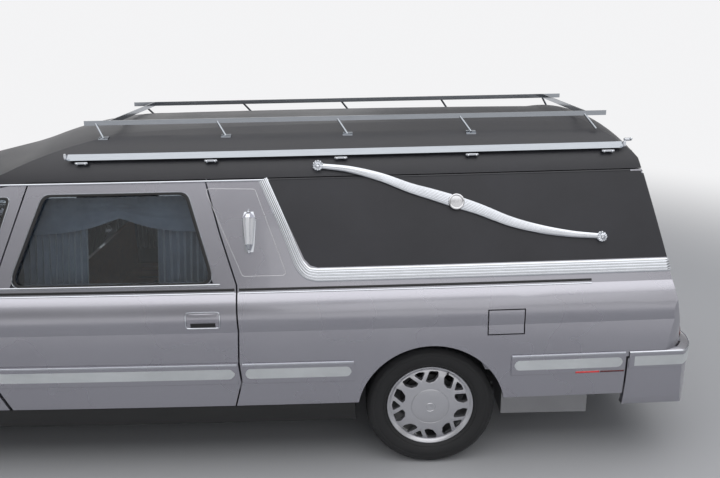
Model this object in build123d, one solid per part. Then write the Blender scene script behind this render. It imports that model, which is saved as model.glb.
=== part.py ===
from build123d import *
import math
import os

# Overall sizes, mm. x runs rearward, the driver's side is -y, z is up from the ground.
half_length = 3150
half_width = 955
front_axle = -2050
rear_axle = 1770
tyre_radius = 332
tyre_width = 225
wheel_y = 773
rim_radius = 223
seam = 8                     # gap between panels
door_thick = 75
pin_radius = 3
pin_play = 0.08
frame_thick = 38             # window frames of the doors
wall = 45                    # quarter and roof walls
floor_low = 215
floor_top = 262
sill_top = 394
belt_z = 985
roof_edge_z = 1500
arch_radius = 372

# Bow of the body sides in plan, and crown of the roof and of the hood
side_bow = 60000
bow_x = 300
roof_crown_z = -900
hood_crown_z = -9000

tuck_y, tuck_z = 800, floor_low
lip_y, lip_z = 940, 370
hip_y, hip_z = 943, 800
shoulder_y = 885
drip_y = 680
shoulder_radius = 315


def xz(points):
    """Face in the x-z plane at y = 0 from a closed list of points."""
    return make_face(Polyline(*[(x, 0, z) for x, z in points], close=True))


def prism_y(points, y0, y1):
    """Solid with an x-z outline between two y values."""
    f = Pos(0, min(y0, y1), 0) * xz(points)
    return extrude(f, abs(y1 - y0), dir=(0, 1, 0))


def prism_x(points, x0, x1):
    """Solid with a y-z outline between two x values."""
    f = make_face(Polyline(*[(x0, y, z) for y, z in points], close=True))
    return extrude(f, x1 - x0, dir=(1, 0, 0))


def prism_z(points, z0, z1):
    """Solid with an x-y outline between two z values."""
    f = make_face(Polyline(*[(x, y, z0) for x, y in points], close=True))
    return extrude(f, z1 - z0, dir=(0, 0, 1))


def block(x0, x1, y0, y1, z0, z1):
    return Pos((x0 + x1) / 2, (y0 + y1) / 2, (z0 + z1) / 2) * Box(
        abs(x1 - x0), abs(y1 - y0), abs(z1 - z0))


def rod(p, q, r):
    """Round bar between two points."""
    p, q = Vector(*p), Vector(*q)
    d = q - p
    return extrude(Plane(origin=p, z_dir=d) * Circle(r), d.length)


def other_side(part):
    return mirror(part, about=Plane.XZ)


def one(part):
    """Largest solid of a result, or the part itself when it is one."""
    s = part.solids()
    return max(s, key=lambda q: q.volume) if len(s) > 1 else s[0]


def circle_of(p, m, q):
    """Centre and radius of the circle through three points."""
    ax, ay, bx, by, cx, cy = *p, *m, *q
    d = 2 * (ax * (by - cy) + bx * (cy - ay) + cx * (ay - by))
    a2, b2, c2 = ax * ax + ay * ay, bx * bx + by * by, cx * cx + cy * cy
    ux = (a2 * (by - cy) + b2 * (cy - ay) + c2 * (ay - by)) / d
    uy = (a2 * (cx - bx) + b2 * (ax - cx) + c2 * (bx - ax)) / d
    return (ux, uy), math.hypot(ax - ux, ay - uy)


def shifted(seg, depth):
    """One line or arc moved to its left by depth, as its end points and middle."""
    p, q = seg[0], seg[-1]
    if len(seg) == 2:
        d = math.hypot(q[0] - p[0], q[1] - p[1])
        n = (-(q[1] - p[1]) / d * depth, (q[0] - p[0]) / d * depth)
        return [(p[0] + n[0], p[1] + n[1]), (q[0] + n[0], q[1] + n[1])], None
    c, r = circle_of(*seg)
    turn = (seg[1][0] - p[0]) * (q[1] - p[1]) - (seg[1][1] - p[1]) * (q[0] - p[0])
    k = (r - depth) / r if turn > 0 else (r + depth) / r
    return [(c[0] + (a[0] - c[0]) * k, c[1] + (a[1] - c[1]) * k) for a in seg], (c, r * k)


def vanishes(seg, depth):
    """Whether a rounded corner is smaller than the depth it is moved inward by."""
    if len(seg) == 2:
        return False
    turn = ((seg[1][0] - seg[0][0]) * (seg[2][1] - seg[0][1])
            - (seg[1][1] - seg[0][1]) * (seg[2][0] - seg[0][0]))
    return turn > 0 and circle_of(*seg)[1] < depth + 2


def crossing(s1, c1, s2, c2):
    """Point where two shifted pieces meet, the one closest to their ends."""
    near = ((s1[-1][0] + s2[0][0]) / 2, (s1[-1][1] + s2[0][1]) / 2)
    if math.dist(s1[-1], s2[0]) < 0.01:
        return near
    if c1 is None and c2 is not None:
        return line_arc(s1, c2, near)
    if c1 is not None and c2 is None:
        return line_arc(s2, c1, near)
    if c1 is None:
        (x1, y1), (x2, y2), (x3, y3), (x4, y4) = s1[0], s1[-1], s2[0], s2[-1]
        d = (x1 - x2) * (y3 - y4) - (y1 - y2) * (x3 - x4)
        if abs(d) < 1e-6:
            return near
        e, f = x1 * y2 - y1 * x2, x3 * y4 - y3 * x4
        return ((e * (x3 - x4) - (x1 - x2) * f) / d, (e * (y3 - y4) - (y1 - y2) * f) / d)
    (a, ra), (b, rb) = c1, c2
    d = math.dist(a, b)
    t = (ra * ra - rb * rb + d * d) / (2 * d)
    h = math.sqrt(max(ra * ra - t * t, 0))
    ex, ey = (b[0] - a[0]) / d, (b[1] - a[1]) / d
    both = [(a[0] + ex * t - ey * h * k, a[1] + ey * t + ex * h * k) for k in (-1, 1)]
    return min(both, key=lambda w: math.dist(w, near))


def line_arc(line, circle, near):
    (cx, cy), r = circle
    (x1, y1), (x2, y2) = line[0], line[-1]
    d = math.hypot(x2 - x1, y2 - y1)
    ux, uy = (x2 - x1) / d, (y2 - y1) / d
    t = (cx - x1) * ux + (cy - y1) * uy
    g = (cx - x1 - t * ux) ** 2 + (cy - y1 - t * uy) ** 2
    h = math.sqrt(max(r * r - g, 0))
    both = [(x1 + ux * (t + k * h), y1 + uy * (t + k * h)) for k in (-1, 1)]
    return min(both, key=lambda w: math.dist(w, near))


def outline(segments, depth, lift):
    """Face from lines and arcs, its inside on their left, made smaller by depth all round."""
    segments = [s for s in segments if not vanishes(s, depth)]
    moved = [shifted(s, depth) for s in segments] if depth else [(list(s), None) for s in segments]
    n = len(moved)
    if depth:
        joints = [crossing(*moved[i - 1], *moved[i]) for i in range(n)]
    else:
        joints = [moved[i][0][0] for i in range(n)]
    edges = []
    for i, (pts, circle) in enumerate(moved):
        p, q = joints[i], joints[(i + 1) % n]
        if len(pts) == 2:
            edges.append(Line(lift(*p), lift(*q)))
        else:
            (cx, cy), r = circle or circle_of(*pts)
            mx, my = (p[0] + q[0]) / 2 - cx, (p[1] + q[1]) / 2 - cy
            k = r / math.hypot(mx, my)
            if (pts[1][0] - cx) * mx + (pts[1][1] - cy) * my < 0:
                k = -k
            edges.append(ThreePointArc(lift(*p), lift(cx + mx * k, cy + my * k), lift(*q)))
    return make_face(Curve() + edges)


def side_segments():
    """Half cross-section of the body at its widest, from the roof's edge down to the sill."""
    lean = math.atan2(shoulder_y - drip_y, roof_edge_z - belt_z)
    cx = -drip_y + math.cos(lean) * shoulder_radius
    cz = roof_edge_z - math.sin(lean) * shoulder_radius
    start = math.atan2(roof_edge_z - cz, -drip_y - cx)
    end = math.radians(90 + 12)

    def on(a):
        return (cx + shoulder_radius * math.cos(a), cz + shoulder_radius * math.sin(a))

    e = on(end)
    over = (250, e[1] + (250 - e[0]) * 0.21)
    return [
        [over, e],
        [e, on((start + end) / 2), (-drip_y, roof_edge_z)],
        [(-drip_y, roof_edge_z), (-786, 1240), (-shoulder_y, belt_z)],
        [(-shoulder_y, belt_z), (-927, 928), (-hip_y, hip_z)],
        [(-hip_y, hip_z), (-half_width - 2, 560), (-lip_y, lip_z)],
        [(-lip_y, lip_z), (-893, 275), (-tuck_y, tuck_z)],
        [(-tuck_y, tuck_z), (250, floor_low)],
        [(250, floor_low), over],
    ]


def side_outline(depth):
    return outline(side_segments(), depth, lambda a, b: (bow_x, a, b))


forms = {}


def side_form(depth):
    """Driver's side of the body, its skin moved inward by depth."""
    if ("side", depth) not in forms:
        axis = Axis((bow_x, side_bow, 0), (0, 0, 1))
        f = side_outline(depth).rotate(axis, -3.4)
        forms[("side", depth)] = one(revolve(f, axis, 6.8))
    return forms[("side", depth)]


# Centre line of the coach roof, from the foot of the windscreen back to the tail
screen_foot = (-1750, 960)
header = (-1000, 1475)
roof_high = 1737
tail_top = (2826, 1625)
tail_low = (3080, 760)


def top_outline(depth):
    foot, head = screen_foot, header
    segments = [
        [(foot[0], 120), (3096, 120)],
        [(3096, 120), (3096, 600)],
        [(3096, 600), tail_low],
        [tail_low, tail_top],
        [tail_top, (2715, 1700), (2480, 1729)],
        [(2480, 1729), (1400, roof_high), (250, 1733)],
        [(250, 1733), (-20, 1714), (-260, 1656)],
        [(-260, 1656), (-375, 1618), (-500, 1585)],
        [(-500, 1585), head],
        [head, foot],
        [foot, (foot[0], 120)],
    ]
    return outline(segments, depth, lambda a, b: (a, 0, b))


def top_form(depth):
    """Windscreen, roof and tail as one crowned form."""
    if ("top", depth) not in forms:
        axis = Axis((0, 0, roof_crown_z), (1, 0, 0))
        f = top_outline(depth).rotate(axis, -46)
        forms[("top", depth)] = one(revolve(f, axis, 92))
    return forms[("top", depth)]


def nose_outline(depth):
    segments = [
        [(-3150, 120), (-1300, 120)],
        [(-1300, 120), (-1300, 1010)],
        [(-1300, 1010), (-1640, 1002)],
        [(-1640, 1002), (-2400, 935), (-3058, 790)],
        [(-3058, 790), (-3092, 776), (-3104, 742)],
        [(-3104, 742), (-3112, 575)],
        [(-3112, 575), (-3150, 560)],
        [(-3150, 560), (-3150, 120)],
    ]
    return outline(segments, depth, lambda a, b: (a, 0, b))


def nose_form(depth):
    """Hood and front end as one slightly crowned form."""
    if ("nose", depth) not in forms:
        axis = Axis((0, 0, hood_crown_z), (1, 0, 0))
        f = nose_outline(depth).rotate(axis, -7)
        forms[("nose", depth)] = one(revolve(f, axis, 14))
    return forms[("nose", depth)]


def plan_outline(depth):
    half = [
        [(-3150, 0), (-3128, -330), (-3060, -620)],
        [(-3060, -620), (-2985, -790), (-2800, -905)],
        [(-2800, -905), (-2400, -1000)],
        [(-2400, -1000), (2760, -1000)],
        [(2760, -1000), (2925, -905)],
        [(2925, -905), (3030, -830), (3066, -690)],
        [(3066, -690), (3094, -350), (3105, 0)],
    ]
    other = [[(x, -y) for x, y in reversed(s)] for s in reversed(half)]
    return outline(half + other, depth, lambda a, b: (a, b, 100))


def plan_form(depth):
    """Rounded outline of the body seen from above."""
    if ("plan", depth) not in forms:
        forms[("plan", depth)] = one(extrude(plan_outline(depth), 1900, dir=(0, 0, 1)))
    return forms[("plan", depth)]


def skin(depth):
    """Driver's half of cabin and coach body as a solid, its surface moved inward by depth."""
    if ("skin", depth) not in forms:
        forms[("skin", depth)] = one(side_form(depth) & top_form(depth) & plan_form(depth))
    return forms[("skin", depth)]


def front_skin(depth):
    """Driver's half of the front end as a solid."""
    if ("front", depth) not in forms:
        forms[("front", depth)] = one(side_form(depth) & nose_form(depth) & plan_form(depth))
    return forms[("front", depth)]


def between(outer, inner, *zones):
    """Part of the layer between two forms that lies in every zone."""
    part = outer
    for z in zones:
        part = one(part & z)
    return one(part - inner)


def left_of_centre(part):
    return part & block(-3400, 3400, -1500, 0, 0, 2200)


def both_sides(half):
    """Full piece from its driver's half that ends on the centre plane."""
    return one(half + other_side(half))


def together(*groups):
    """One node of several pieces that don't touch."""
    return Compound([piece for g in groups for piece in g.solids()])


# Seams seen from the side
front_edge = [(-1475, 400), (-1475, 980)]
door_top = [(-1345, 1000), (-960, 1340), (-600, 1432), (-380, 1480)]
b_seam = [(-200, 1500), (-364, 1036), (-416, 651), (-401, 555), (-354, 442), (-337, 400)]
c_seam = [(671, 1500), (740, 1262), (822, 1019), (828, 813), (820, 640), (828, 539), (788, 400)]
front_window = [(-290, 1440), (-380, 1432), (-600, 1385), (-930, 1300), (-1255, 1027),
                (-425, 1027)]
rear_window = [(-119, 1444), (576, 1444), (709, 1027), (-283, 1027)]
screen_yz = [(-800, 985), (-625, 1375), (-300, 1437), (0, 1456), (300, 1437), (625, 1375),
             (800, 985)]
tail_door_yz = [(-640, 594), (-640, 970), (-520, 1632), (520, 1632), (640, 970), (640, 594)]
tail_window_yz = [(-470, 1100), (-400, 1530), (400, 1530), (470, 1100)]
hood_hinge = (-1795, 978, 250)
front_hinge = (-1445, -920, (470, 740))
hinge_room = 10              # wider seam at the foot of the front door, where the rear door turns
rear_hinge = (-376, -941.5, (600, 740))
bumper_top = 604
bumper_seam_x = 2750


def through_tail(points):
    """Solid with a tail outline, drawn at x = 3000 and run square to the sloping tail."""
    lean = math.atan2(tail_low[0] - tail_top[0], tail_top[1] - tail_low[1])
    nx, nz = math.cos(lean), math.sin(lean)
    f = make_face(Polyline(*[(3000 - 480 * nx, y, z - 480 * nz) for y, z in points], close=True))
    return extrude(f, 780, dir=(nx, 0, nz))


def skin_y(x, z):
    """y of the body side's surface at a place along the car and a height."""
    for seg in side_segments():
        if len(seg) == 3 and min(seg[0][1], seg[2][1]) <= z <= max(seg[0][1], seg[2][1]):
            (cy, cz), r = circle_of(*seg)
            y = cy - math.sqrt(r * r - (z - cz) ** 2)
            return side_bow - math.sqrt((side_bow - y) ** 2 - (x - bow_x) ** 2)
    return None


tail_slope = (tail_low[0] - tail_top[0]) / (tail_top[1] - tail_low[1])


def tail_point(y, z, out):
    """Point at a distance outside the sloping tail."""
    r = math.hypot(y, z - roof_crown_z)
    x = tail_low[0] - tail_slope * (r + roof_crown_z - tail_low[1])
    nx, ny, nz = 1, tail_slope * y / r, tail_slope * (z - roof_crown_z) / r
    k = out / math.sqrt(nx * nx + ny * ny + nz * nz)
    return Vector(x + nx * k, y + ny * k, z + nz * k)


tail_hinge_z = (1200, 1470)
barrel_out = 9


def tail_hinge_ends():
    """Two points of the tail door's hinge line, over the gap along its slanting edge."""
    return [tail_point(y, z, barrel_out) for y, z in ((-598.7, 1200), (-545.6, 1470))]


def tail_barrel(z, radius, half):
    a, b = tail_hinge_ends()
    u = (b - a).normalized()
    c = a + u * ((z - a.Z) / u.Z)
    p, q = c - u * half, c + u * half
    return rod((p.X, p.Y, p.Z), (q.X, q.Y, q.Z), radius)


def tail_leaf(z, dy0, dy1):
    """Hinge leaf that lies on the tail's skin beside the hinge line."""
    a, b = tail_hinge_ends()
    y = a.Y + (b.Y - a.Y) * (z - a.Z) / (b.Z - a.Z)
    return between(tail_form(-5), tail_form(0), block(2700, 3200, y + dy0, y + dy1, z - 20, z + 20))


def slide(points, dx):
    return [(x + dx, z) for x, z in points]


def grown(points, by):
    """Convex outline moved outward by a distance, corners kept sharp."""
    n = len(points)
    area = sum(points[i - 1][0] * points[i][1] - points[i][0] * points[i - 1][1]
               for i in range(n))
    ring = points if area > 0 else points[::-1]
    segs = [[ring[i], ring[(i + 1) % n]] for i in range(n)]
    moved = [shifted(g, -by) for g in segs]
    return [crossing(*moved[i - 1], *moved[i]) for i in range(n)]


def make_roof():
    low = [(-972, 1337), (-966, 1348), (-600, 1439), (-380, 1487), (-200, 1506), (3200, 1506), (3200, 1900),
           (-1100, 1900), (-1100, 1337)]
    half = between(skin(0), skin(frame_thick), prism_y(low, -1000, 0))
    half = half - prism_x(screen_yz, -1900, -900)
    half = half - through_tail(grown(tail_door_yz, seam))
    return both_sides(one(half))


def make_windscreen():
    return between(top_form(3), top_form(9), prism_x(grown(screen_yz, -0.3), -1900, -900))


def post(points, outer, inner):
    return between(side_form(outer), side_form(inner), prism_y(points, -1000, -500))


def make_cabin_frame():
    pillar_zone = [(-1800, 1003), (-1352, 1003), (-974, 1336.7), (-1800, 1336.7)]
    upper = between(skin(0), skin(40), prism_y(pillar_zone, -1000, 0))
    upper = one(upper - prism_x(screen_yz, -1900, -900))
    foot = sill_top + 0.3
    hinge_post = one(post([(-1520, foot), (-1440, foot), (-1440, 930), (-1520, 930)], 85, 140))
    b_post = [(-440, foot), (-340, foot), (-340, 500), (-355, 700), (-300, 1036), (-150, 1500),
              (-270, 1500), (-420, 1036), (-470, 700), (-440, 500)]
    middle = one(post(b_post, 85, 125))
    rear_post = one(post([(800, foot), (860, foot), (860, 960), (800, 960)], 85, 125))
    for z in front_hinge[2]:
        foot_xy = [(-1470, -830), (-1492, -830)]
        hinge_post = one(hinge_post + hinge_arm(front_hinge[0], front_hinge[1], z, foot_xy))
    for z in rear_hinge[2]:
        foot_xy = [(-380, -850), (-400, -850)]
        middle = one(middle + hinge_arm(rear_hinge[0], rear_hinge[1], z, foot_xy))
    half = [upper, hinge_post, middle, rear_post]
    return Compound(half + [other_side(h) for h in half])


cowl_front = -1757
cowl_gap = 12                # the hood's rear edge swings down in it


def make_hood():
    edge = cowl_front - cowl_gap
    plan = [(-3300, -640), (edge, -766), (edge, 0), (-3300, 0)]
    half = between(front_skin(0), front_skin(22), prism_z(plan, 752, 1200))
    x, z, y = hood_hinge
    half = one(half - block(x - 7, x + 40, -y - 9, -y + 9, 900, z + 7))
    half = one(half + rod((x, -y - 14, z), (x, -y + 14, z), pin_radius))
    return both_sides(half)


def arch(x, r, y0, y1):
    """Cylinder across the body over a wheel."""
    c = Plane(origin=(x, y0, tyre_radius), z_dir=(0, 1, 0)) * Circle(r)
    return extrude(c, y1 - y0)


def wheelhouse(x, y_in, r, low):
    """Liner over a wheel: half barrel closed on its inner side, open below."""
    outer = arch(x, r + 12, -905, y_in)
    hollow = arch(x, r, -950, y_in - 12)
    return one((outer - hollow) & block(x - 500, x + 500, -1000, y_in, low, 900))


def make_fender():
    zone = [(-1481, 400), (-1481, 1100), (-3300, 1100), (-3300, 752), (-2890, 752),
            (-2860, 566), (-2745, 566), (-2735, 400)]
    inner = [(-3300, -646), (-1700, -778), (-1470, -800), (-1470, 100), (-3300, 100)]
    half = between(front_skin(0), front_skin(25), prism_y(zone, -1000, 100))
    half = half - prism_z(inner, 300, 1200)
    half = one(half - arch(front_axle, arch_radius, -1100, -600))
    liner = wheelhouse(front_axle, -433, 380, 320)
    liner = liner - block(front_axle - 90, front_axle + 90, -460, -430, 300, 560)
    liner = liner & side_form(10)
    return one(half + one(liner))


def make_front_bumper():
    zone = [(-3300, 232), (-2741, 232), (-2741, 394), (-2751, 560), (-3300, 560)]
    return both_sides(between(front_skin(0), front_skin(60), prism_y(zone, -1100, 0)))


def make_grille():
    x0, x1, half_y, z0, z1 = -3104, -3050, 439.7, 572, 746
    frame = block(x0, x1, -half_y, half_y, z0, z1)
    frame -= block(x0 - 5, x1 + 5, -half_y + 16, half_y - 16, z0 + 14, z1 - 18)
    parts = [frame]
    for i in range(1, 12):
        y = -half_y + i * 2 * half_y / 12
        parts.append(block(x0 + 8, x1 - 4, y - 2, y + 2, z0 + 10, z1 - 14))
    for i in range(1, 5):
        z = z0 + i * (z1 - z0) / 5
        parts.append(block(x0 + 8, x1 - 4, -half_y + 10, half_y - 10, z - 2, z + 2))
    return one(parts[0].fuse(*parts[1:]))


def make_headlamps():
    zone = [(-3300, 572), (-2866, 572), (-2896, 746), (-3300, 746)]
    half = between(front_skin(0), front_skin(60), prism_y(zone, -1100, -440))
    return Compound([half, other_side(half)])


def make_cowl():
    plan = [(cowl_front, -766), (-1560, -786), (-1482, -793), (-1482, 0), (cowl_front, 0)]
    top = between(front_skin(0), front_skin(22), prism_z(plan, 700, 1200)) - top_form(2.7)
    fire_wall = block(-1640, -1616, -760, 0, 305, 975) & side_form(90) & nose_form(10)
    fire_wall = one(fire_wall + block(-1640, -1616, -700, 0, floor_low, 400))
    x, z, y = hood_hinge
    bar = [(x - 5, z - 1), (x + 5, z - 1), (x + 9, z - 28), (-1638, z - 38), (-1638, z - 54),
           (x - 4, z - 36)]
    arm = one(prism_y(bar, -y - 7, -y + 7) + rod((x, -y - 7, z), (x, -y + 7, z), 6))
    arm = one(arm - rod((x, -y - 8, z), (x, -y + 8, z), pin_radius + pin_play))
    return both_sides(one(one(one(top) + fire_wall) + arm))


def make_dash():
    full = both_sides(one(block(-1615.7, -1240, -740, 0, 690, 925) & side_form(146)))
    centre = (-1010, -380, 930)
    column = rod((-1260, -380, 800), centre, 24)
    wheel = Plane(origin=centre, z_dir=(-250, 0, 130)) * Torus(185, 14)
    spokes = Plane(origin=centre, z_dir=(-250, 0, 130)) * Box(40, 370, 16)
    hub = Plane(origin=centre, z_dir=(-250, 0, 130)) * Cylinder(50, 34)
    return one(full.fuse(column, wheel, spokes, hub))


def door(outline_xz, window, low_top):
    """One side door; its thick lower part steps back at the rear edge so that it swings free."""
    shape = prism_y(outline_xz, -1000, -500)
    stepped = prism_y(slide(outline_xz, -12), -1000, -500)
    ring = between(side_form(0), side_form(frame_thick), shape)
    if low_top:
        ring = one(ring & top_form(0))
    thick = between(side_form(0), side_form(door_thick), shape, stepped,
                    block(-3000, 3000, -1000, 0, 300, 960))
    mould = between(side_form(-7), side_form(2), shape, prism_y(slide(outline_xz, 14), -1000, -500),
                    block(-3000, 3000, -1000, 0, 545, 645))
    whole = one(one(ring + thick) + mould)
    return one(whole - prism_y(window, -1000, -500))


def hinge_seat(x, y, z, edge_x):
    """Pocket in a door round one hinge, and the pin that stays in the door."""
    pocket = block(edge_x - 30, x + 9, y - 7, y + 120, z - 13, z + 13)
    return pocket, rod((x, y, z - 18), (x, y, z + 18), pin_radius)


def hinge_arm(x, y, z, foot):
    """Eye round the pin with its arm to a post; foot is the arm's width on the post."""
    arm = prism_z([(x - 5, y + 1), (x + 5, y + 1)] + foot, z - 9, z + 9)
    eye = rod((x, y, z - 9), (x, y, z + 9), 6)
    bore = rod((x, y, z - 10), (x, y, z + 10), pin_radius + pin_play)
    return one(one(eye + arm) - bore)


def hang(body, x, y, heights, edge_x):
    for z in heights:
        pocket, pin = hinge_seat(x, y, z, edge_x)
        body = one(one(body - pocket) + pin)
    return body


def make_front_door():
    rear_edge = slide(b_seam[:3], -seam / 2) + slide(b_seam[3:], -seam / 2 - hinge_room)
    shape = front_edge + door_top + rear_edge
    body = hang(door(shape, front_window, True), *front_hinge, -1475)
    mirror_head = block(-1320, -1225, -1100, -925, 1000, 1130)
    stalk = block(-1310, -1262, -960, -815, 1000, 1022) - side_form(10)
    return one(body + one(mirror_head + stalk))


def make_rear_door():
    shape = slide(b_seam, seam / 2) + slide(c_seam, -seam / 2)[::-1]
    return hang(door(shape, rear_window, False), *rear_hinge, -416)


def door_glass(window):
    return between(side_form(14), side_form(19), prism_y(grown(window, -0.3), -1000, -500))


def make_quarter(driver_side):
    """Rear side wall with its wheelhouse; the driver's side has the fuel opening and hinges."""
    zone = slide(c_seam, seam / 2) + [(1380, 400), (2170, 400), (bumper_seam_x - seam, 400),
                                      (bumper_seam_x - seam, bumper_top + seam),
                                      (3300, bumper_top + seam), (3300, 1500)]
    q = between(skin(0), skin(wall), prism_y(zone, -1100, 0))
    q = q - through_tail(grown(tail_door_yz, seam))
    q = one(q - arch(rear_axle, arch_radius, -1100, -700))
    liner = wheelhouse(rear_axle, -640, 380, 420) & side_form(10)
    q = one(q + one(liner))
    q = q - tail_lamp_zone(0.3)
    if not driver_side:
        return one(q)
    q = one(q - prism_y(fuel_opening, -1000, -800))
    q = one(q + make_fuel_hinge())
    for z in tail_hinge_z:
        leaf = tail_leaf(z, -28, -1.5)
        leaf = one(leaf - Compound((tail_barrel(z, 9, 40) - tail_barrel(z, 10, 10.9)).solids()))
        q = one(q + one(leaf + tail_barrel(z, 7, 11)))
        q = one(q - tail_barrel(z, pin_radius + pin_play, 12))
    return one(q)


def make_fuel_hinge():
    """Eye of the fuel door's hinge on its arm from the opening's front wall."""
    (x, y, z), u = fuel_axis()
    eye = rod((x, y - u.Y * 7, z - 7), (x, y + u.Y * 7, z + 7), 3.5)
    arm = block(x + 0.5, x + 5.5, y + 1, y + 26, z - 6, z + 6)
    arm = one(arm + block(2040, x + 5.5, y + 20, y + 26, z - 6, z + 6))
    eye = one(eye + arm)
    return one(eye - rod((x, y - u.Y * 9, z - 9), (x, y + u.Y * 9, z + 9), 2 + pin_play))


def fuel_axis():
    """Middle and direction of the fuel door's hinge line, just under the sloping skin."""
    a = Vector(2064, skin_y(2064, 775) + 7, 775)
    b = Vector(2064, skin_y(2064, 857) + 7, 857)
    c, u = (a + b) * 0.5, (b - a).normalized()
    return (c.X, c.Y, c.Z), u


fuel_opening = [(2042, 749), (2227, 749), (2227, 883), (2042, 883)]


def tail_lamp_zone(by):
    corners = [(-834, 643), (-832, 931), (-668, 930), (-666, 642)]
    return prism_x(grown(corners, by), 2893 - by, 3290)


def make_tail_lamps():
    half = between(skin(0), skin(44), tail_lamp_zone(0))
    return Compound([half, other_side(half)])


def make_fuel_door():
    d = between(side_form(0), side_form(16), prism_y(grown(fuel_opening, -6), -1000, -800))
    (x, y, z), u = fuel_axis()
    d = one(d - block(2040, x + 11, y - 4.5, y + 40, z - 9, z + 9))
    return one(d + rod((x, y - u.Y * 13, z - 13), (x, y + u.Y * 13, z + 13), 2))


def tail_form(depth):
    if ("tail", depth) not in forms:
        forms[("tail", depth)] = one(top_form(depth) & plan_form(depth))
    return forms[("tail", depth)]


def make_tail_door():
    d = between(tail_form(0), tail_form(60), through_tail(tail_door_yz))
    d = one(d - through_tail(tail_window_yz))
    for z in tail_hinge_z:
        d = one(d + tail_leaf(z, 1.5, 28))
        d = one(d - tail_barrel(z, 9, 11.3))
        d = one(d + tail_barrel(z, pin_radius, 22))
        d = one(d + Compound((tail_barrel(z, 7, 22) - tail_barrel(z, 9, 11.3)).solids()))
    return d


def make_tail_glass():
    return between(tail_form(15), tail_form(20), through_tail(grown(tail_window_yz, -0.3)))


def make_rear_bumper():
    outer = side_form(-4) & plan_form(-45)
    inner = side_form(30) & plan_form(15)
    zone = block(bumper_seam_x, 3200, -1000, 0, 330, bumper_top)
    return both_sides(between(outer, inner, zone))


def make_floor():
    tray = side_form(6) & block(-1615.7, 1385, -1000, 0, 200, sill_top)
    tray = tray - block(-1700, 1340, -740, 1, floor_top, 500)
    step = side_form(60) & block(1340, 1385, -780, 0, floor_low, 470)
    deck = block(1340, 2200, -620, 0, 430, 470)
    back = block(2180, 3200, -900, 0, 430, 470) & side_form(46) & plan_form(15.3)
    tank = block(2080, 2520, -480, 0, 250, 431)
    half = one(left_of_centre(tray + step + deck + back + tank))
    return both_sides(half)


def make_deck():
    """Casket floor on its side walls, its front board, its skid strips and its rollers."""
    top = block(-150, 3000, -600, 600, 620, 640) & plan_form(64)
    parts = [top, block(-150, -128, -600, 600, 640, 960),
             block(-150, 1330, 550, 570, 262.3, 620), block(-150, 1330, -570, -550, 262.3, 620),
             block(1390, 2950, 550, 570, 470.3, 620), block(1390, 2950, -570, -550, 470.3, 620),
             block(-150, -128, -570, 570, 262.3, 620)]
    for y in (-460, 460):
        parts.append(block(-60, 2680, y - 20, y + 20, 640, 668))
    for i in range(11):
        x = 120 + i * 280
        parts.append(rod((x, -420, 655), (x, 420, 655), 18))
    return one(parts[0].fuse(*parts[1:]))


def make_seats():
    parts = []
    for y in (-380, 380):
        base = block(-1080, -520, y - 270, y + 270, 262.3, 500)
        back = prism_y([(-560, 470), (-400, 470), (-300, 1090), (-390, 1100)], y - 265, y + 265)
        head = block(-385, -290, y - 130, y + 130, 1110, 1250)
        stem = block(-350, -330, y - 60, y + 60, 1080, 1120)
        parts.append(one(base + back + head + stem))
    return Compound(parts)


def make_powertrain():
    engine = block(-2640, -2010, -359.7, 359.7, 240, 800)
    front_pipe = rod((-2015, -120, 300), (-1700, -120, 185), 26)
    pipe = rod((-1705, -120, 185), (1460, -120, 185), 26)
    rise = rod((1455, -120, 185), (1640, -300, 245), 26)
    cross = rod((1636, -296, 245), (2170, -600, 262), 26)
    silencer = block(2150, 2600, -800, -560, 240, 400)
    tail = rod((2590, -660, 300), (3060, -660, 290), 24)
    return one(engine.fuse(front_pipe, pipe, rise, cross, silencer, tail))


steer_y = 740
king_pin = 12


def steering_arm(s, z0, z1):
    arm = block(front_axle - 22, front_axle + 22, s * 400, s * (steer_y + 24), z0, z1)
    eye = rod((front_axle, s * steer_y, z0 - 1), (front_axle, s * steer_y, z1 + 1), king_pin + pin_play)
    return one(arm - eye)


def make_subframe():
    parts = []
    for s in (-1, 1):
        rail = block(-3100, -1640.3, s * 360, s * 432.7, 300, 380) & plan_form(60.3)
        parts += [rail,
                  block(front_axle - 45, front_axle + 45, s * 360, s * 432.7, 186, 310),
                  block(front_axle - 45, front_axle + 45, s * 380, s * 432.7, 370, 505),
                  steering_arm(s, 186, 199.7), steering_arm(s, 470.3, 486)]
    parts += [block(front_axle - 60, front_axle + 60, -400, 400, 186, 236),
              block(-3040, -3015, -560, 560, 378, 740) & plan_form(60.3) & nose_form(60.3)]
    return one(parts[0].fuse(*parts[1:]))


def make_knuckle():
    upright = block(front_axle - 25, front_axle + 25, -764, -714, 200, 470)
    upright += rod((front_axle, -steer_y, 186), (front_axle, -steer_y, 486), king_pin)
    carrier = Plane(origin=(front_axle, -748, tyre_radius), z_dir=(0, 1, 0)) * Circle(62)
    spindle = Plane(origin=(front_axle, -850, tyre_radius), z_dir=(0, 1, 0)) * Circle(28)
    return one(upright + extrude(carrier, 30) + extrude(spindle, 110))


def make_rear_axle():
    parts = [rod((rear_axle, -735, tyre_radius), (rear_axle, 735, tyre_radius), 38)]
    for s in (-1, 1):
        parts += [rod((rear_axle, s * 735, tyre_radius), (rear_axle, s * 748, tyre_radius), 62),
                  rod((rear_axle, s * 740, tyre_radius), (rear_axle, s * 850, tyre_radius), 28),
                  rod((rear_axle, s * 470, 350), (rear_axle, s * 470, 429.7), 50),
                  block(1385.3, rear_axle, s * 500 - 24, s * 500 + 24, 312, 352)]
    return one(parts[0].fuse(*parts[1:]))


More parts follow.
